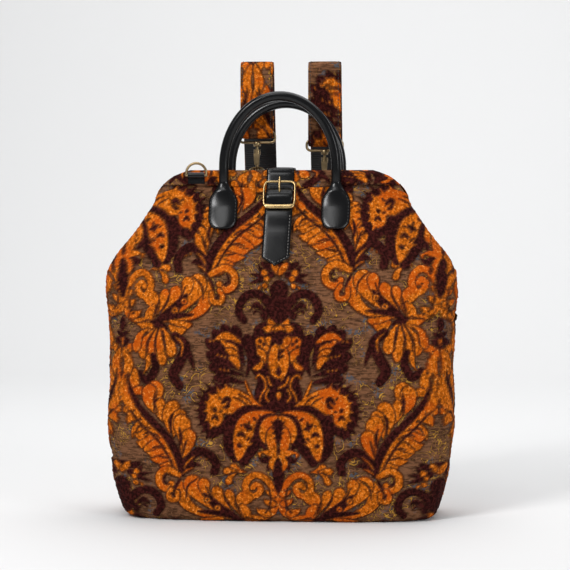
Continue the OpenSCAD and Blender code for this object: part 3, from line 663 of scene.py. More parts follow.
def normals_of(points):
    """Unit normals of a grid of points (rows x cols x 3)."""
    n = np.cross(np.gradient(points, axis=1), np.gradient(points, axis=0))
    return n / np.maximum(np.linalg.norm(n, axis=2, keepdims=True), 1e-9)


# rows of the base's rounded edge and of the cloth under the base, and points of one raw section
EDGE_ROWS, UNDER_ROWS, SECTION = 12, 9, 721
# mm from the middle where the close columns end, nominal half length of a row, and columns beyond
CLOSE_TO, HALF_ROW, SIDE_COLUMNS = 172, 250, 26
# how far the base's edge is tucked in, and how far the flat weave lies inside the CAD surface, in mm
TUCK, GROUND_SUNK = 5.0, 1.5


def cloth_rows(zs, share):
    """Points of the front half at heights zs, and the pattern's distance across at each of them.

    Row z is the curve x = w(z) cos^(2/n), y = -d(z) sin^(2/n), resampled by arc length at the given shares.
    The pattern's distance is the width that the camera sees on the face, and arc length at the sides.
    """
    a = np.linspace(0, np.pi, SECTION)
    middle = SECTION // 2
    rows, across = [], []
    for z in zs:
        n = profile(z, 3)
        tuck = TUCK * np.clip(1 - z / TUCK, 0, 1) ** 2
        x = -(half_w(z) - tuck) * power(np.cos(a), 2 / n)
        y = -(half_d(z) - tuck) * np.abs(np.sin(a)) ** (2 / n)
        s = np.concatenate([[0], np.cumsum(np.hypot(np.diff(x), np.diff(y)))])
        s -= s[middle]
        at = share * s[-1]
        rows.append(np.stack([np.interp(at, s, x), np.interp(at, s, y), np.full(len(at), z)], 1))
        seen = x * (1 - (y + FRONT_Y) / CAMERA_FAR)
        slope = np.abs(np.diff(seen)) / np.maximum(np.diff(s), 1e-9)
        q = np.concatenate([[0], np.cumsum(np.maximum(slope, 1 - 1.6 * slope) * np.diff(s))])
        across.append(np.interp(at, s, q - q[middle]))
    return rows, across


def bag_half(name, back, step, sizes):
    """Front or back half of the bag: a loft of rounded sections, one row per height.

    The first rows run under the base from the middle line to its edge; the last one turns in at the mouth.
    The pattern is worked out on the cloth's own coordinates and lifts the surface by the pile; waves dent it.
    """
    zs = np.concatenate([np.linspace(0, EDGE_ROWS, EDGE_ROWS, endpoint=False),
                         np.arange(EDGE_ROWS, SEAM_Z + 0.1, step)])
    zs[-1] = SEAM_Z
    share = np.concatenate([np.arange(0, CLOSE_TO, step), np.linspace(CLOSE_TO, HALF_ROW, SIDE_COLUMNS)])
    share = share / float(HALF_ROW)
    rows, across = cloth_rows(zs, np.concatenate([-share[:0:-1], share]))
    inward = np.linspace(0, 1, UNDER_ROWS + 1)[:-1]
    p = np.array([rows[0] * np.array([1, k, 0]) for k in inward] + rows)
    s = np.array([across[0]] * UNDER_ROWS + across)
    z = p[..., 2]
    py = PX_Y + CLOTH_Y - z / PX
    py[:UNDER_ROWS] += np.abs(rows[0][:, 1])[None, :] * (1 - inward[:, None]) / PX
    py = py + BASE_DRAW * np.clip((py - DRAW_FROM) / DRAW_OVER, 0, 1)
    px = PX_X - CLOTH_X + s / PX + (HALF_REPEAT if back else 0)
    orange, dark = damask(px.ravel(), py.ravel())
    n = normals_of(p)
    if n[len(p) // 2, p.shape[1] // 2, 1] > 0:
        n = -n
    cover = (orange + dark).reshape(z.shape)
    soft = np.clip((330 - z) / 60, 0.15, 1) * np.clip(z / 25, 0, 1)
    dent = wobble(s, z, 110, 3 + back) * 0.7 + wobble(s, z, 46, 5 + back) * 0.3
    lump = 0.5 * wobble(s, z, 7, 21) * cover
    lift = -GROUND_SUNK + (sizes.pile / MM + lump) * cover + sizes.slack / MM * dent * soft
    lift[:UNDER_ROWS] = 0.0
    fade = np.clip((SEAM_Z + 2 - z) / 4, 0, 1) * np.clip(z / 2 + 0.01, 0, 1)
    p = p + n * (lift * fade)[..., None]
    p = np.concatenate([p, p[-1:] * np.array([1, 0.4, 1])])
    bare = np.zeros(p.shape[1])
    attrs = {"orange": np.concatenate([orange, bare]), "dark": np.concatenate([dark, bare])}
    return cloth_mesh(name, p, back, attrs)


def cloth_mesh(name, points, back, attributes):
    """Carpet mesh of a grid of points of the front half, mirrored to the back if asked."""
    if back:
        points = points * np.array([1, -1, 1])
    faces = grid_faces(*points.shape[:2])
    faces = faces[:, ::-1] if back else faces
    return make_mesh(name, points, faces, LOOKS["carpet"], attributes, slot="carpet")


# pixels across and down at which the sleeve's pattern starts, and how much of it one mm of height takes up
SLEEVE_CLOTH_X, SLEEVE_CLOTH_Y, SLEEVE_DRAW = 30, 144, 2.2


def sleeve(name, back, sizes):
    """Stuffed carpet sleeve over half of the mouth frame.

    A quarter-round section, its angle from the seam to the mouth line, follows the mouth's outline across; it
    is squeezed flat under the closure strap.
    """
    overlap, droop_half, pinch_half = 1.2, 55, 21
    low_z = SEAM_Z - overlap
    end = float(half_w(low_z))
    xs = end * np.sin(np.linspace(-np.pi / 2, np.pi / 2, 260))
    zz = np.linspace(low_z, HEIGHT, 200)
    top = np.interp(np.abs(xs), half_w(zz)[::-1], zz[::-1])
    low = np.minimum(low_z - sizes.droop / MM * np.exp(-(xs / droop_half) ** 2), top - 0.02)
    th = np.linspace(0, np.pi / 2, 30)[:, None]
    z = low + (top - low) * np.sin(th) ** 0.7
    x = np.broadcast_to(xs, z.shape)
    deep = face_y(xs, np.full(len(xs), SEAM_Z)) + 1.7 * np.clip((end - np.abs(xs)) / 12, 0, 1) + 0.3
    full = deep * np.cos(th) ** 0.55 * (1 + 0.06 * np.sin(2 * th))
    full = full + np.clip(wobble(x, z * 3, 38, 11 + back) * 0.5, -1, 0.8) * np.sin(2 * th)
    squeezed = face_y(x, np.clip(z, None, HEIGHT - 0.5)) * np.cos(th) ** 0.25 + 0.1
    pinch = np.exp(-(xs / pinch_half) ** 6)
    y = -0.25 - (full * (1 - pinch) + np.minimum(full, squeezed) * pinch)
    px = PX_X + SLEEVE_CLOTH_X + x / PX + (HALF_REPEAT if back else 0)
    py = SLEEVE_CLOTH_Y + (HEIGHT - z) * SLEEVE_DRAW / PX
    orange, dark = damask(px.ravel(), py.ravel())
    p = np.stack([x, y, z], -1)
    start = [p[:1] * np.array([1, f, 1]) + np.array([0, 0, dz]) for f, dz in ((0.6, 1.6), (0.9, 0.9))]
    p = np.concatenate([*start, p])
    pad = np.zeros(2 * len(xs))
    attrs = {"orange": np.concatenate([pad, orange]), "dark": np.concatenate([pad, dark])}
    return cloth_mesh(name, p, back, attrs)


# handles in mm: span, roll, distance from the middle plane, neck, tab, rise over the mouth, straight part of
# a leg over the neck, and how far the back handle sits to the right and lower
HANDLE = dict(span=122.0, dia=10.7, y=20.7846, neck=HEIGHT - SLEEVE + 4.5, tab=31.5, length=53.0, rise=85,
              straight=14, back_shift=3.5, back_sag=6.0)
# how much squarer than an ellipse a tab's section is, the swell of its face and its least half thickness
TAB_SQUARE, TAB_SWELL, TAB_EDGE = 0.12, 1.1, 1.65
# the tab's stitches lie this far from its edge and run up to this height
STITCH_IN, STITCH_TOP = 2.2, 38


def tab_half(k):
    """Half width of a handle tab at k mm above its lower end."""
    h, r, u = HANDLE["tab"] / 2, HANDLE["dia"] / 2, k / HANDLE["length"]
    low = h * (0.38 + 0.62 * np.sqrt(np.clip(1 - (1 - np.minimum(u / 0.25, 1)) ** 2, 0, 1)))
    high = r + (h - r) * (0.5 + 0.5 * np.cos(np.pi * np.clip((u - 0.54) / 0.46, 0, 1)))
    return np.where(u < 0.25, low, high)


def tab_thick(k):
    """Half thickness of a handle tab at k mm above its lower end."""
    grow = np.clip(k / HANDLE["length"] - 0.4, 0, 1) ** 2 / 0.36
    return TAB_EDGE + (HANDLE["dia"] / 2 - TAB_EDGE) * grow


def leg_point(side, k, x):
    """Middle of a handle leg at k mm above the tab's lower end: it lies on the sloping cloth."""
    z = HANDLE["neck"] - HANDLE["length"] + k
    on_cloth = face_y(HANDLE["span"] / 2 - x - HANDLE["tab"] / 4, z) + 0.95 + tab_thick(k) * 1.08
    y = np.maximum(on_cloth, k / HANDLE["length"] * HANDLE["y"])
    return np.stack([np.full_like(z, side * HANDLE["span"] / 2 + x), -y, z], -1)


def flatness(wide, thick):
    """How flat a section is: 0 for the round roll, 1 for the flat tab."""
    return np.clip((wide / thick - 1) / 3, 0, 1)


def handle(name, back):
    """Rolled leather handle and its two flared tabs as one sweep.

    The path goes up one tab, over a half ellipse and down the other tab. The section is
    (wide cos^e, thick sin^e), flat and swollen on its outer side at the tabs, round with a welt on the roll.
    """
    k = np.concatenate([np.linspace(0, 16, 22, endpoint=False), np.linspace(16, HANDLE["length"], 30)])
    t = np.linspace(0, np.pi, 97)
    arch_z = HANDLE["neck"] + HANDLE["straight"]
    x = HANDLE["back_shift"] if back else 0.0
    rise = HANDLE["rise"] + HEIGHT - arch_z - HANDLE["dia"] / 2 - (HANDLE["back_sag"] if back else 0.0)
    arch = np.stack([x - HANDLE["span"] / 2 * np.cos(t), np.full_like(t, -HANDLE["y"]),
                     arch_z + rise * np.sin(t)], -1)
    path = np.concatenate([leg_point(-1, k, x), arch, leg_point(1, k[::-1], x)])
    roll = np.full(len(t), HANDLE["dia"] / 2)
    wide = np.concatenate([tab_half(k), roll, tab_half(k[::-1])])
    thick = np.concatenate([tab_thick(k), roll, tab_thick(k[::-1])])
    tan = tangents(path)
    u = np.stack([tan[:, 2], np.zeros(len(tan)), -tan[:, 0]], -1)
    u /= np.linalg.norm(u, axis=1)[:, None]
    v = np.cross(tan, u)
    a = np.linspace(0, 2 * np.pi, 36, endpoint=False)
    flat = flatness(wide, thick)[:, None]
    e = 1 - TAB_SQUARE * flat
    welt = 1 + 0.05 * np.exp(-((a[None, :] - 4.3) / 0.16) ** 2) * (1 - flat)
    swell = 1 + TAB_SWELL * flat * (np.sin(a) < 0)
    out_u = wide[:, None] * power(np.cos(a)[None, :], e) * welt
    out_v = thick[:, None] * swell * power(np.sin(a)[None, :], e) * welt
    ring = path[:, None, :] + (u[:, None, :] * out_u[..., None] + v[:, None, :] * out_v[..., None])
    if back:
        ring = (ring * np.array([1, -1, 1]))[:, ::-1]
    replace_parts(sweep_mesh(name, ring, LOOKS["leather"], slot="leather"), name.replace("_leather", ""))
    lines = [tab_seam(side, x) * np.array([1, -1 if back else 1, 1]) for side in (-1, 1)]
    stitches(name.replace("_leather", "_stitches"), lines, radius=0.34, length=2.6, pitch=3.9,
             look="thread_dark")


def tab_seam(side, x):
    """Line of the stitches on a tab's swollen face: down one edge, round its end and up the other edge."""
    n = 60
    k = np.concatenate([np.linspace(STITCH_TOP, 2.6, n), np.linspace(2.6, STITCH_TOP, n)])
    sign = np.concatenate([np.full(n, 1.0), np.full(n, -1.0)])
    wide, thick = tab_half(k), tab_thick(k)
    flat = flatness(wide, thick)
    e = 1 - TAB_SQUARE * flat
    edge = (1 - STITCH_IN / wide) ** (1 / e)
    off = thick * (1 + TAB_SWELL * flat) * np.sqrt(1 - edge ** 2) ** e + 0.12
    return leg_point(side, k, x) + np.stack([sign * (wide - STITCH_IN), -off, k * 0], -1)


# places along a stitch where its thread is measured, its thickness there, and the thread's number of sides
STITCH_AT, STITCH_THICK, STITCH_SIDES = np.array([0, 0.2, 0.8, 1]), np.array([0.35, 1, 1, 0.35]), 6


def stitches(name, lines, radius, length, pitch, look):
    """Short thread bars laid along lines of points, all in one mesh.

    A bar is a tube about the chord from s to s + length along its line, thinner at both ends.
    """
    a = np.linspace(0, 2 * np.pi, STITCH_SIDES, endpoint=False)[:, None]
    bars = []
    for line in lines:
        d = np.concatenate([[0], np.cumsum(np.linalg.norm(np.diff(line, axis=0), axis=1))])
        s = np.arange(pitch / 2, d[-1] - length, pitch)
        start, end = [np.stack([np.interp(v, d, c) for c in line.T], -1) for v in (s, s + length)]
        axis = (end - start) / np.linalg.norm(end - start, axis=1)[:, None]
        u = np.cross(axis, [0.31, 0.17, 0.93])
        u /= np.linalg.norm(u, axis=1)[:, None]
        around = u[:, None] * np.cos(a) + np.cross(axis, u)[:, None] * np.sin(a)
        middle = start[:, None] + (end - start)[:, None] * STITCH_AT[:, None]
        bars.append(middle[:, :, None] + radius * STITCH_THICK[:, None, None] * around[:, None])
    bars = np.concatenate(bars)
    rows = len(STITCH_AT)
    base = np.arange(len(bars))[:, None, None] * rows * STITCH_SIDES
    ends = np.arange(STITCH_SIDES)
    caps = np.array([ends[::-1], ends + (rows - 1) * STITCH_SIDES]) + base
    faces = (grid_faces(rows, STITCH_SIDES, True) + base).reshape(-1, 4)
    return make_mesh(name, bars, faces, LOOKS[look], caps=caps.reshape(-1, STITCH_SIDES))


# closure: middle of the buckle, tip of the strap, its width and how far its stitches lie from the middle
BUCKLE_Z, TIP_Z, CLOSURE, CLOSURE_SEAM = HEIGHT - 30, 273.0, 30.0, 12.6
# buckle: half sizes of its wire loop, squareness of its corners, swell of its sides and height off the cloth
BUCKLE_X, BUCKLE_Y, BUCKLE_SQUARE, BUCKLE_SWELL, BUCKLE_OFF = 16.2, 14.9, 0.26, 0.045, 8.1
BUCKLE_TILT = math.atan2(float(face_y(0, BUCKLE_Z - 16) - face_y(0, BUCKLE_Z + 14)), 30)


def buckle_point(u, v, w):
    """World point (mm) of buckle coordinates: across, up the slope, off the cloth."""
    s, c = math.sin(BUCKLE_TILT), math.cos(BUCKLE_TILT)
    return np.stack([u, -face_y(0, BUCKLE_Z) + s * v - c * w, BUCKLE_Z + c * v + s * w], -1)


def strap_lift(z):
    """How far the closure strap stands off the cloth: a swell under the buckle and a hump over its bar."""
    swell = 2.1 * np.exp(-((z - BUCKLE_Z + 10) / 18) ** 4)
    hump = 4.8 * np.exp(-((z - BUCKLE_Z - 2) / 7.5) ** 2)
    return 0.8 + swell + hump


def band(name, path, half, lo, hi, look, x0=0.0, n=9, crown=0.0, attributes=None, **kw):
    """Flat strap along a path in the YZ plane.

    The section runs across the upper face, hi + crown (1 - f^2), and back across the lower one, lo, with f
    from -1 to 1 over the width and both faces drawn in at the edges.
    """
    path = np.asarray(path, float)
    t = tangents(path)
    m = np.stack([-t[:, 1], t[:, 0]], -1)
    half = np.broadcast_to(np.asarray(half, float), len(path))
    q = np.linspace(-1, 1, n)
    soft = 0.25 * (hi - lo) * np.abs(q) ** 8
    f = np.concatenate([q, q[::-1]])
    h = np.concatenate([hi - soft + crown * (1 - q * q), (lo + soft)[::-1]])
    ring = np.empty((len(path), len(f), 3))
    ring[..., 0] = np.broadcast_to(x0, len(path))[:, None] + half[:, None] * f
    ring[..., 1:] = path[:, None, :] + m[:, None, :] * h[None, :, None]
    ring = ring[:, ::-1]
    return sweep_mesh(name, ring, look, attributes=attributes(ring) if attributes else None, **kw)


# stations of the closure strap on its pointed tip, on the front in all, and the height of the tip
TIP_ROWS, CLOSURE_FRONT, TIP_HIGH = 8, 78, 9


def closure_path():
    """Side view of the closure strap: up the cloth, over the bar, over the mouth and down the back."""
    fold_z = HEIGHT - 3
    zf = np.concatenate([np.linspace(TIP_Z, TIP_Z + TIP_HIGH, TIP_ROWS, endpoint=False),
                         np.linspace(TIP_Z + TIP_HIGH, fold_z, CLOSURE_FRONT - TIP_ROWS)])
    zb = np.linspace(fold_z, HEIGHT - 49, 24)
    a = np.radians(np.linspace(165, 15, 21))
    ry = float(face_y(0, fold_z)) + 1.15
    front = np.stack([-face_y(0, zf) - 0.15 - strap_lift(zf), zf], -1)
    over = np.stack([ry * power(np.cos(a), 0.5), fold_z + 3.9 * np.sin(a) ** 0.5], -1)
    rear = np.stack([face_y(0, zb) + 0.95, zb], -1)
    return np.concatenate([front, over, rear])


def closure_lean(z):
    """Sideways lean of the strap's free end below the buckle."""
    return -0.035 * np.clip(BUCKLE_Z - z, 0, None)


def ring_tube(name, centre, radius, look, n=14, **kw):
    """Closed tube round a closed path: section (r1 cos^0.8, r2 sin^0.8), with radius giving r1 and r2."""
    centre = np.asarray(centre, float)
    t = np.roll(centre, -1, 0) - np.roll(centre, 1, 0)
    t /= np.linalg.norm(t, axis=1)[:, None]
    up = np.cross(centre - centre.mean(0), t).mean(0)
    up /= np.linalg.norm(up)
    side = np.cross(t, up)
    a = np.linspace(0, 2 * np.pi, n, endpoint=False)
    r = np.asarray(radius, float)
    out_side = r[:, :1] * power(np.cos(a), 0.8)
    out_up = r[:, 1:] * power(np.sin(a), 0.8)
    ring = centre[:, None] + side[:, None] * out_side[..., None] + up[None, None] * out_up[..., None]
    m = len(centre)
    f = grid_faces(m + 1, n, True) % (m * n)
    return make_mesh(name, ring.reshape(-1, 3), f, look, **kw)


# straps in mm: width, top, distance apart, shift to the right, lower end, Y of the ring pivot and rear face
STRAP = dict(width=36.0, top=497.0, spacing=75.0, shift=7.5, end=165.0, ring_y=19.275, rear_y=91.25)
# height of the left hook's eye, how much lower the right one is, height of the ring's pivot and its reach
EYE_Z, EYE_DROP, RING_Z, RING_REACH = 379.0, 9, 370, 18.8
# height of a hook's loop over its eye, half sizes of the loop, its corner and its wire
LOOP_UP, LOOP_X, LOOP_Z, LOOP_CORNER, LOOP_WIRE = 28.0, 19.9, 5.7, 4.6, 1.4
# swivel collar under a loop: radius, distance below the loop and half sizes of its section
COLLAR_R, COLLAR_DOWN, COLLAR_HALF = 3.05, 1.7, (1.1, 2.7)
# where the lower loops sit
LOW_LOOP_Y, LOW_LOOP_Z = 84.0, 66.0
# radius of the strap's fold round the loop and of its top fold, and length of the straight run at its end
FOLD, TOP_FOLD, TAIL = 4, 8, 65


def hook_eye(side):
    """Y and Z of the eye of a top hook, whose ring reaches back from the cloth."""
    z = EYE_Z - (EYE_DROP if side > 0 else 0)
    return STRAP["ring_y"] + math.sqrt(RING_REACH ** 2 - (z - RING_Z) ** 2), z


def side_arc(y, z, r, start, end, n):
    """Points of an arc in the YZ plane, angles in degrees."""
    a = np.radians(np.linspace(start, end, n))
    return np.stack([y + r * np.cos(a), z + r * np.sin(a)], -1)


def strap_path(side):
    """Side view of a carpet strap: from its sewn end round the loop, up, over the top and down the back."""
    y, eye_z = hook_eye(side)
    low, top, face = eye_z + LOOP_UP + 2 * LOOP_Z, STRAP["top"] - TOP_FOLD - 3.2, y - FOLD
    rear, tail_z = STRAP["rear_y"], STRAP["end"] + TAIL
    sewn = [(y + FOLD, low + 18 - i * 3) for i in range(6)]
    front = [(face, low + (top - low) * i / 24) for i in range(1, 24)]
    q = np.arange(1, 71) / 70
    start = face + 2 * TOP_FOLD
    down_y = start + (rear - start) * q * q * (3 - 2 * q) + 16 * np.sin(np.pi * q)
    down = np.stack([down_y, top + (tail_z - top) * q], -1)
    tail = [(rear, tail_z - i * 4) for i in range(1, 17)]
    return np.concatenate([sewn, side_arc(y, low, FOLD, 0, -180, 17), front,
                           side_arc(face + TOP_FOLD, top, TOP_FOLD, 180, 0, 25), down, tail])


# side, name and the pixel of the pattern at the sewn end of each strap
STRAP_CLOTH = ((-1, "left", 126, 447), (1, "right", 222, 425))


def strap_cloth(shift_x, shift_y, path):
    """Pattern attributes for a carpet strap: cloth coordinates are across and along the strap."""
    d = np.concatenate([[0], np.cumsum(np.linalg.norm(np.diff(path, axis=0), axis=1))])

    def attributes(ring):
        """Pile at each point of the strap's rings."""
        across = ring[..., 0] - ring[..., 0].mean()
        px = shift_x + across / PX
        py = np.broadcast_to((shift_y - d / PX)[:, None], px.shape)
        orange, dark = damask(px.ravel(), py.ravel())
        return {"orange": orange, "dark": dark}

    return attributes


# Operators

class BAG_OT_looks(bpy.types.Operator):
    """Make the materials and give them to the CAD parts that stay in view"""
    bl_idname = "bag.looks"
    bl_label = "Looks"

    def execute(self, context):
        LOOKS.update(
            carpet=carpet_look(context.scene.bag_colours), leather=leather_look(), webbing=webbing_look(),
            gold_brass=metal_look("gold_brass", (0.6, 0.42, 0.19), 0.26),
            antique_brass=metal_look("antique_brass", (0.4, 0.29, 0.155), 0.36),
            steel=metal_look("steel", (0.5, 0.5, 0.5), 0.35),
            board=plain_look("board", (0.32, 0.21, 0.12), 0.8),
            thread_dark=plain_look("thread_dark", (0.03, 0.029, 0.028), 0.6),
            thread_pale=plain_look("thread_pale", (0.16, 0.15, 0.14), 0.6))
        for sub in frame["record"]["subparts"]:
            mesh = frame["nodes"][sub["node"]].data
            mesh.materials.clear()
            mesh.materials.append(LOOKS[sub["material_slot"]])
        return {"FINISHED"}


class BAG_OT_cloth(bpy.types.Operator):
    """Build the two carpet halves of the bag"""
    bl_idname = "bag.cloth"
    bl_label = "Carpet body"

    def execute(self, context):
        sizes = context.scene.bag_sizes
        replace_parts(bag_half("front_cloth", False, 1.3, sizes), "front_panel", "base_panel")
        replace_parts(bag_half("back_cloth", True, 2.4, sizes), "back_panel")
        return {"FINISHED"}


class BAG_OT_sleeves(bpy.types.Operator):
    """Build the stuffed sleeves along the mouth"""
    bl_idname = "bag.sleeves"
    bl_label = "Mouth sleeves"

    def execute(self, context):
        sizes = context.scene.bag_sizes
        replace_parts(sleeve("front_sleeve_cloth", False, sizes), "front_sleeve")
        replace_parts(sleeve("back_sleeve_cloth", True, sizes), "back_sleeve")
        return {"FINISHED"}


class BAG_OT_handles(bpy.types.Operator):
    """Build the rolled leather handles and their stitched tabs"""
    bl_idname = "bag.handles"
    bl_label = "Handles"

    def execute(self, context):
        handle("front_handle_leather", False)
        handle("back_handle_leather", True)
        return {"FINISHED"}


class BAG_OT_closure(bpy.types.Operator):
    """Build the closure strap, its stitching and the buckle loop"""
    bl_idname = "bag.closure"
    bl_label = "Closure"

    def execute(self, context):
        path = closure_path()
        half = np.full(len(path), CLOSURE / 2)
        half[:TIP_ROWS] = np.maximum((path[:TIP_ROWS, 1] - TIP_Z) / 0.6, 0.6)
        lean = closure_lean(path[:, 1])
        lean[CLOSURE_FRONT:] = 0
        obj = band("closure_leather", path, half, 0.0, 2.0, LOOKS["leather"], x0=lean, n=13, crown=0.35,
                   slot="leather")
        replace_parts(obj, "closure_strap")
        t = tangents(path)
        out = (path + np.stack([-t[:, 1], t[:, 0]], -1) * 2.05)[:CLOSURE_FRONT]
        side = np.linspace(BUCKLE_Z - 17, TIP_Z + 9.8, 60)
        zs = np.concatenate([side, [TIP_Z + 3.4], side[::-1]])
        seam = np.full(len(side), CLOSURE_SEAM)
        xs = np.concatenate([-seam, [0], seam]) + closure_lean(zs)
        line = np.stack([xs, np.interp(zs, out[:, 1], out[:, 0]), zs], -1)
        stitches("closure_stitches", [line], radius=0.36, length=2.4, pitch=3.6, look="thread_pale")
        a = np.linspace(0, 2 * np.pi, 96, endpoint=False)
        u, v = BUCKLE_X * power(np.cos(a), BUCKLE_SQUARE), BUCKLE_Y * power(np.sin(a), BUCKLE_SQUARE)
        u = u * (1 + BUCKLE_SWELL * (1 - (v / 15) ** 2))
        low = np.clip((-v - 12.5) / 2, 0, 1)
        loop = buckle_point(u, v + 0.2, np.full_like(u, BUCKLE_OFF))
        thick = np.stack([1.15 + 1.35 * low, 1.4 + 0.6 * low], -1)
        obj = ring_tube("buckle_loop", loop, thick, LOOKS["gold_brass"], slot="gold_brass")
        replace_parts(obj, "buckle_frame")
        return {"FINISHED"}


class BAG_OT_straps(bpy.types.Operator):
    """Build the carpet faces of the back straps with their edge stitching"""
    bl_idname = "bag.straps"
    bl_label = "Straps"

    def execute(self, context):
        for side, name, sx, sy in STRAP_CLOTH:
            path = strap_path(side)
            x0 = side * STRAP["spacing"] / 2 + STRAP["shift"]
            obj = band(name + "_strap_cloth", path, STRAP["width"] / 2, 0.15, 3.15, LOOKS["carpet"], x0=x0,
                       n=30, attributes=strap_cloth(sx, sy, path), slot="carpet")
            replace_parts(obj, name + "_strap_facing")
            t = tangents(path)
            out = path + np.stack([-t[:, 1], t[:, 0]], -1) * 3.2
            lines = [np.stack([np.full(len(out), x0 + s * 15.4), out[:, 0], out[:, 1]], -1) for s in (-1, 1)]
            stitches(name + "_strap_stitches", lines, radius=0.3, length=2.6, pitch=3.9,
                     look="thread_dark")
        return {"FINISHED"}


def rounded_loop(half_x, half_z, r):
    """Points of a rounded rectangle about the origin in the XZ plane."""
    a = np.radians(np.linspace(0, 90, 10))
    x, z = half_x - r, half_z - r
    corners = ((x, z, 0), (-x, z, np.pi / 2), (-x, -z, np.pi), (x, -z, 1.5 * np.pi))
    return np.concatenate([np.stack([cx + r * np.cos(a + q), a * 0, cz + r * np.sin(a + q)], -1)
                           for cx, cz, q in corners])


class BAG_OT_loops(bpy.types.Operator):
    """Build the rounded wire loops of the four snap hooks and their swivel collars"""
    bl_idname = "bag.loops"
    bl_label = "Hook loops"

    def execute(self, context):
        a = np.linspace(0, 2 * np.pi, 40, endpoint=False)
        for side, name in ((-1, "left"), (1, "right")):
            eye_y, eye_z = hook_eye(side)
            x = side * STRAP["spacing"] / 2 + STRAP["shift"]
            for level, y, z in (("top", eye_y, eye_z + LOOP_UP), ("lower", LOW_LOOP_Y, LOW_LOOP_Z)):
                node = name + "_" + level + "_loop"
                path = rounded_loop(LOOP_X, LOOP_Z, LOOP_CORNER) + np.array([x, y, z + LOOP_Z])
                wire = np.full((len(path), 2), LOOP_WIRE)
                obj = ring_tube(node + "_wire", path, wire, LOOKS["antique_brass"], slot="antique_brass")
                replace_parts(obj, node)
                collar = np.stack([x + COLLAR_R * np.cos(a), y + COLLAR_R * np.sin(a),
                                   a * 0 + z - COLLAR_DOWN], -1)
                size = np.tile(COLLAR_HALF, (len(a), 1))
                ring_tube(node + "_collar", collar, size, LOOKS["antique_brass"], slot="antique_brass")
        return {"FINISHED"}


# area lamps: name, place, what it is aimed at, size and watts
LAMPS = (
    ("key", (-1.2, -1.8, 1.8), (0, 0, 0.25), 0.7, 37),
    ("fill", (1.9, -1.7, 0.9), (0, 0, 0.25), 0.8, 18),
    ("top", (-0.3, -1.15, 1.9), (0, 0, 0.25), 0.5, 4.5),
    ("back", (0.2, 0.9, 2.4), (0, 1.6, 0.4), 2.4, 46),
)
# camera: what it looks at, azimuth and elevation in degrees, lens and sensor in mm
CAMERA_AIM, CAMERA_AZ, CAMERA_EL = (0.0078, -0.05, 0.2525), 4.5, 2.5
LENS, SENSOR = 128.0, 36.0
# backdrop in metres: front edge, start and radius of the bend, top, half width, gap under the bag
FLOOR_Y, BEND_Y, BEND_R, WALL_TOP, FLOOR_HALF, FLOOR_GAP = -3.0, 1.6, 0.9, 4.0, 5.0, 0.0006


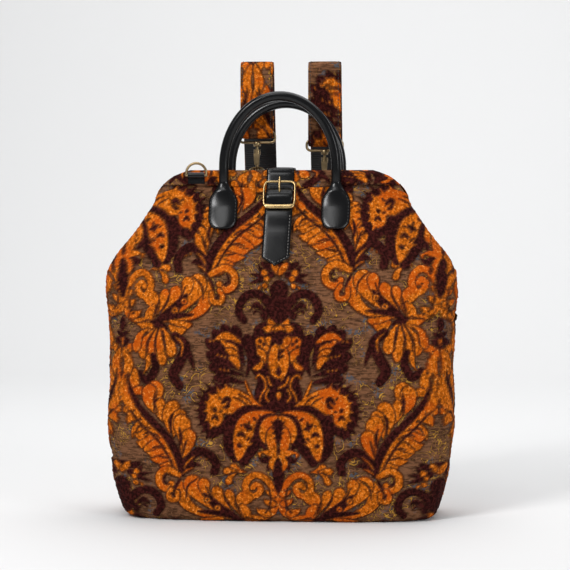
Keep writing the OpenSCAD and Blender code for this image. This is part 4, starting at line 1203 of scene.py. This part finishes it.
class BAG_OT_stage(bpy.types.Operator):
    """Make the floor and backdrop, the lights, the world and the camera"""
    bl_idname = "bag.stage"
    bl_label = "Stage"

    def execute(self, context):
        scene = context.scene
        t = np.linspace(0, np.pi / 2, 24)
        bend = np.stack([BEND_Y + BEND_R * np.sin(t), BEND_R - BEND_R * np.cos(t)], -1)
        prof = np.concatenate([[(FLOOR_Y, 0.0)], bend, [(BEND_Y + BEND_R, WALL_TOP)]])
        verts = np.array([[(x, y, z - FLOOR_GAP) for x in (-FLOOR_HALF, FLOOR_HALF)] for y, z in prof])
        mesh = bpy.data.meshes.new("cyclorama")
        mesh.from_pydata(verts.reshape(-1, 3).tolist(), [], grid_faces(len(prof), 2)[:, ::-1].tolist())
        mesh.polygons.foreach_set("use_smooth", [True] * len(mesh.polygons))
        mesh.materials.append(plain_look("paper", (0.79, 0.79, 0.79), 0.95))
        floor = bpy.data.objects.new("cyclorama", mesh)
        scene.collection.objects.link(floor)
        for name, place, target, size, watts in LAMPS:
            lamp = bpy.data.lights.new(name, "AREA")
            lamp.size, lamp.energy = size, watts
            obj = bpy.data.objects.new(name, lamp)
            obj.location = place
            obj.rotation_euler = (Vector(target) - obj.location).to_track_quat("-Z", "Y").to_euler()
            scene.collection.objects.link(obj)
        world = bpy.data.worlds.new("world")
        scene.world = world
        world.use_nodes = True
        tree = world.node_tree
        back = tree.nodes["Background"]
        ray = tree.nodes.new("ShaderNodeLightPath")
        white = tree.nodes.new("ShaderNodeBackground")
        white.inputs[0].default_value = (0.86, 0.86, 0.86, 1)
        back.inputs[0].default_value = (0.8, 0.82, 0.85, 1)
        back.inputs[1].default_value = 0.27
        blend = tree.nodes.new("ShaderNodeMixShader")
        tree.links.new(ray.outputs["Is Camera Ray"], blend.inputs[0])
        tree.links.new(back.outputs[0], blend.inputs[1])
        tree.links.new(white.outputs[0], blend.inputs[2])
        tree.links.new(blend.outputs[0], tree.nodes["World Output"].inputs[0])
        scene.view_settings.view_transform = "Standard"
        cam = bpy.data.cameras.new("camera")
        cam.lens, cam.sensor_width = LENS, SENSOR
        view = bpy.data.objects.new("camera", cam)
        target = Vector(CAMERA_AIM)
        az, el, dist = math.radians(CAMERA_AZ), math.radians(CAMERA_EL), CAMERA_FAR * MM
        flat = math.cos(el)
        view.location = target + dist * Vector((math.sin(az) * flat, -math.cos(az) * flat, math.sin(el)))
        view.rotation_euler = (target - view.location).to_track_quat("-Z", "Y").to_euler()
        scene.collection.objects.link(view)
        scene.camera = view
        return {"FINISHED"}


class BAG_PT_panel(bpy.types.Panel):
    """Settings and build steps of the carpet backpack"""
    bl_idname = "BAG_PT_panel"
    bl_label = "Carpet backpack"
    bl_space_type = "VIEW_3D"
    bl_region_type = "UI"
    bl_category = "Carpet bag"

    def draw(self, context):
        for group in (context.scene.bag_sizes, context.scene.bag_colours):
            for key in group.__annotations__:
                self.layout.prop(group, key)
        for step in STEPS:
            self.layout.operator(step.bl_idname)


STEPS = (BAG_OT_looks, BAG_OT_cloth, BAG_OT_sleeves, BAG_OT_handles, BAG_OT_closure, BAG_OT_straps,
         BAG_OT_loops, BAG_OT_stage)
CLASSES = (BagSizes, BagColours, *STEPS, BAG_PT_panel)


def register():
    """Add the classes and the scene's settings."""
    for cls in CLASSES:
        bpy.utils.register_class(cls)
    bpy.types.Scene.bag_sizes = PointerProperty(type=BagSizes)
    bpy.types.Scene.bag_colours = PointerProperty(type=BagColours)


def unregister():
    """Remove the scene's settings and the classes."""
    del bpy.types.Scene.bag_colours
    del bpy.types.Scene.bag_sizes
    for cls in reversed(CLASSES):
        bpy.utils.unregister_class(cls)


def main():
    """Build every piece and the stage."""
    register()
    bpy.ops.bag.looks()
    bpy.ops.bag.cloth()
    bpy.ops.bag.sleeves()
    bpy.ops.bag.handles()
    bpy.ops.bag.closure()
    bpy.ops.bag.straps()
    bpy.ops.bag.loops()
    bpy.ops.bag.stage()


if __name__ == "__main__":
    main()
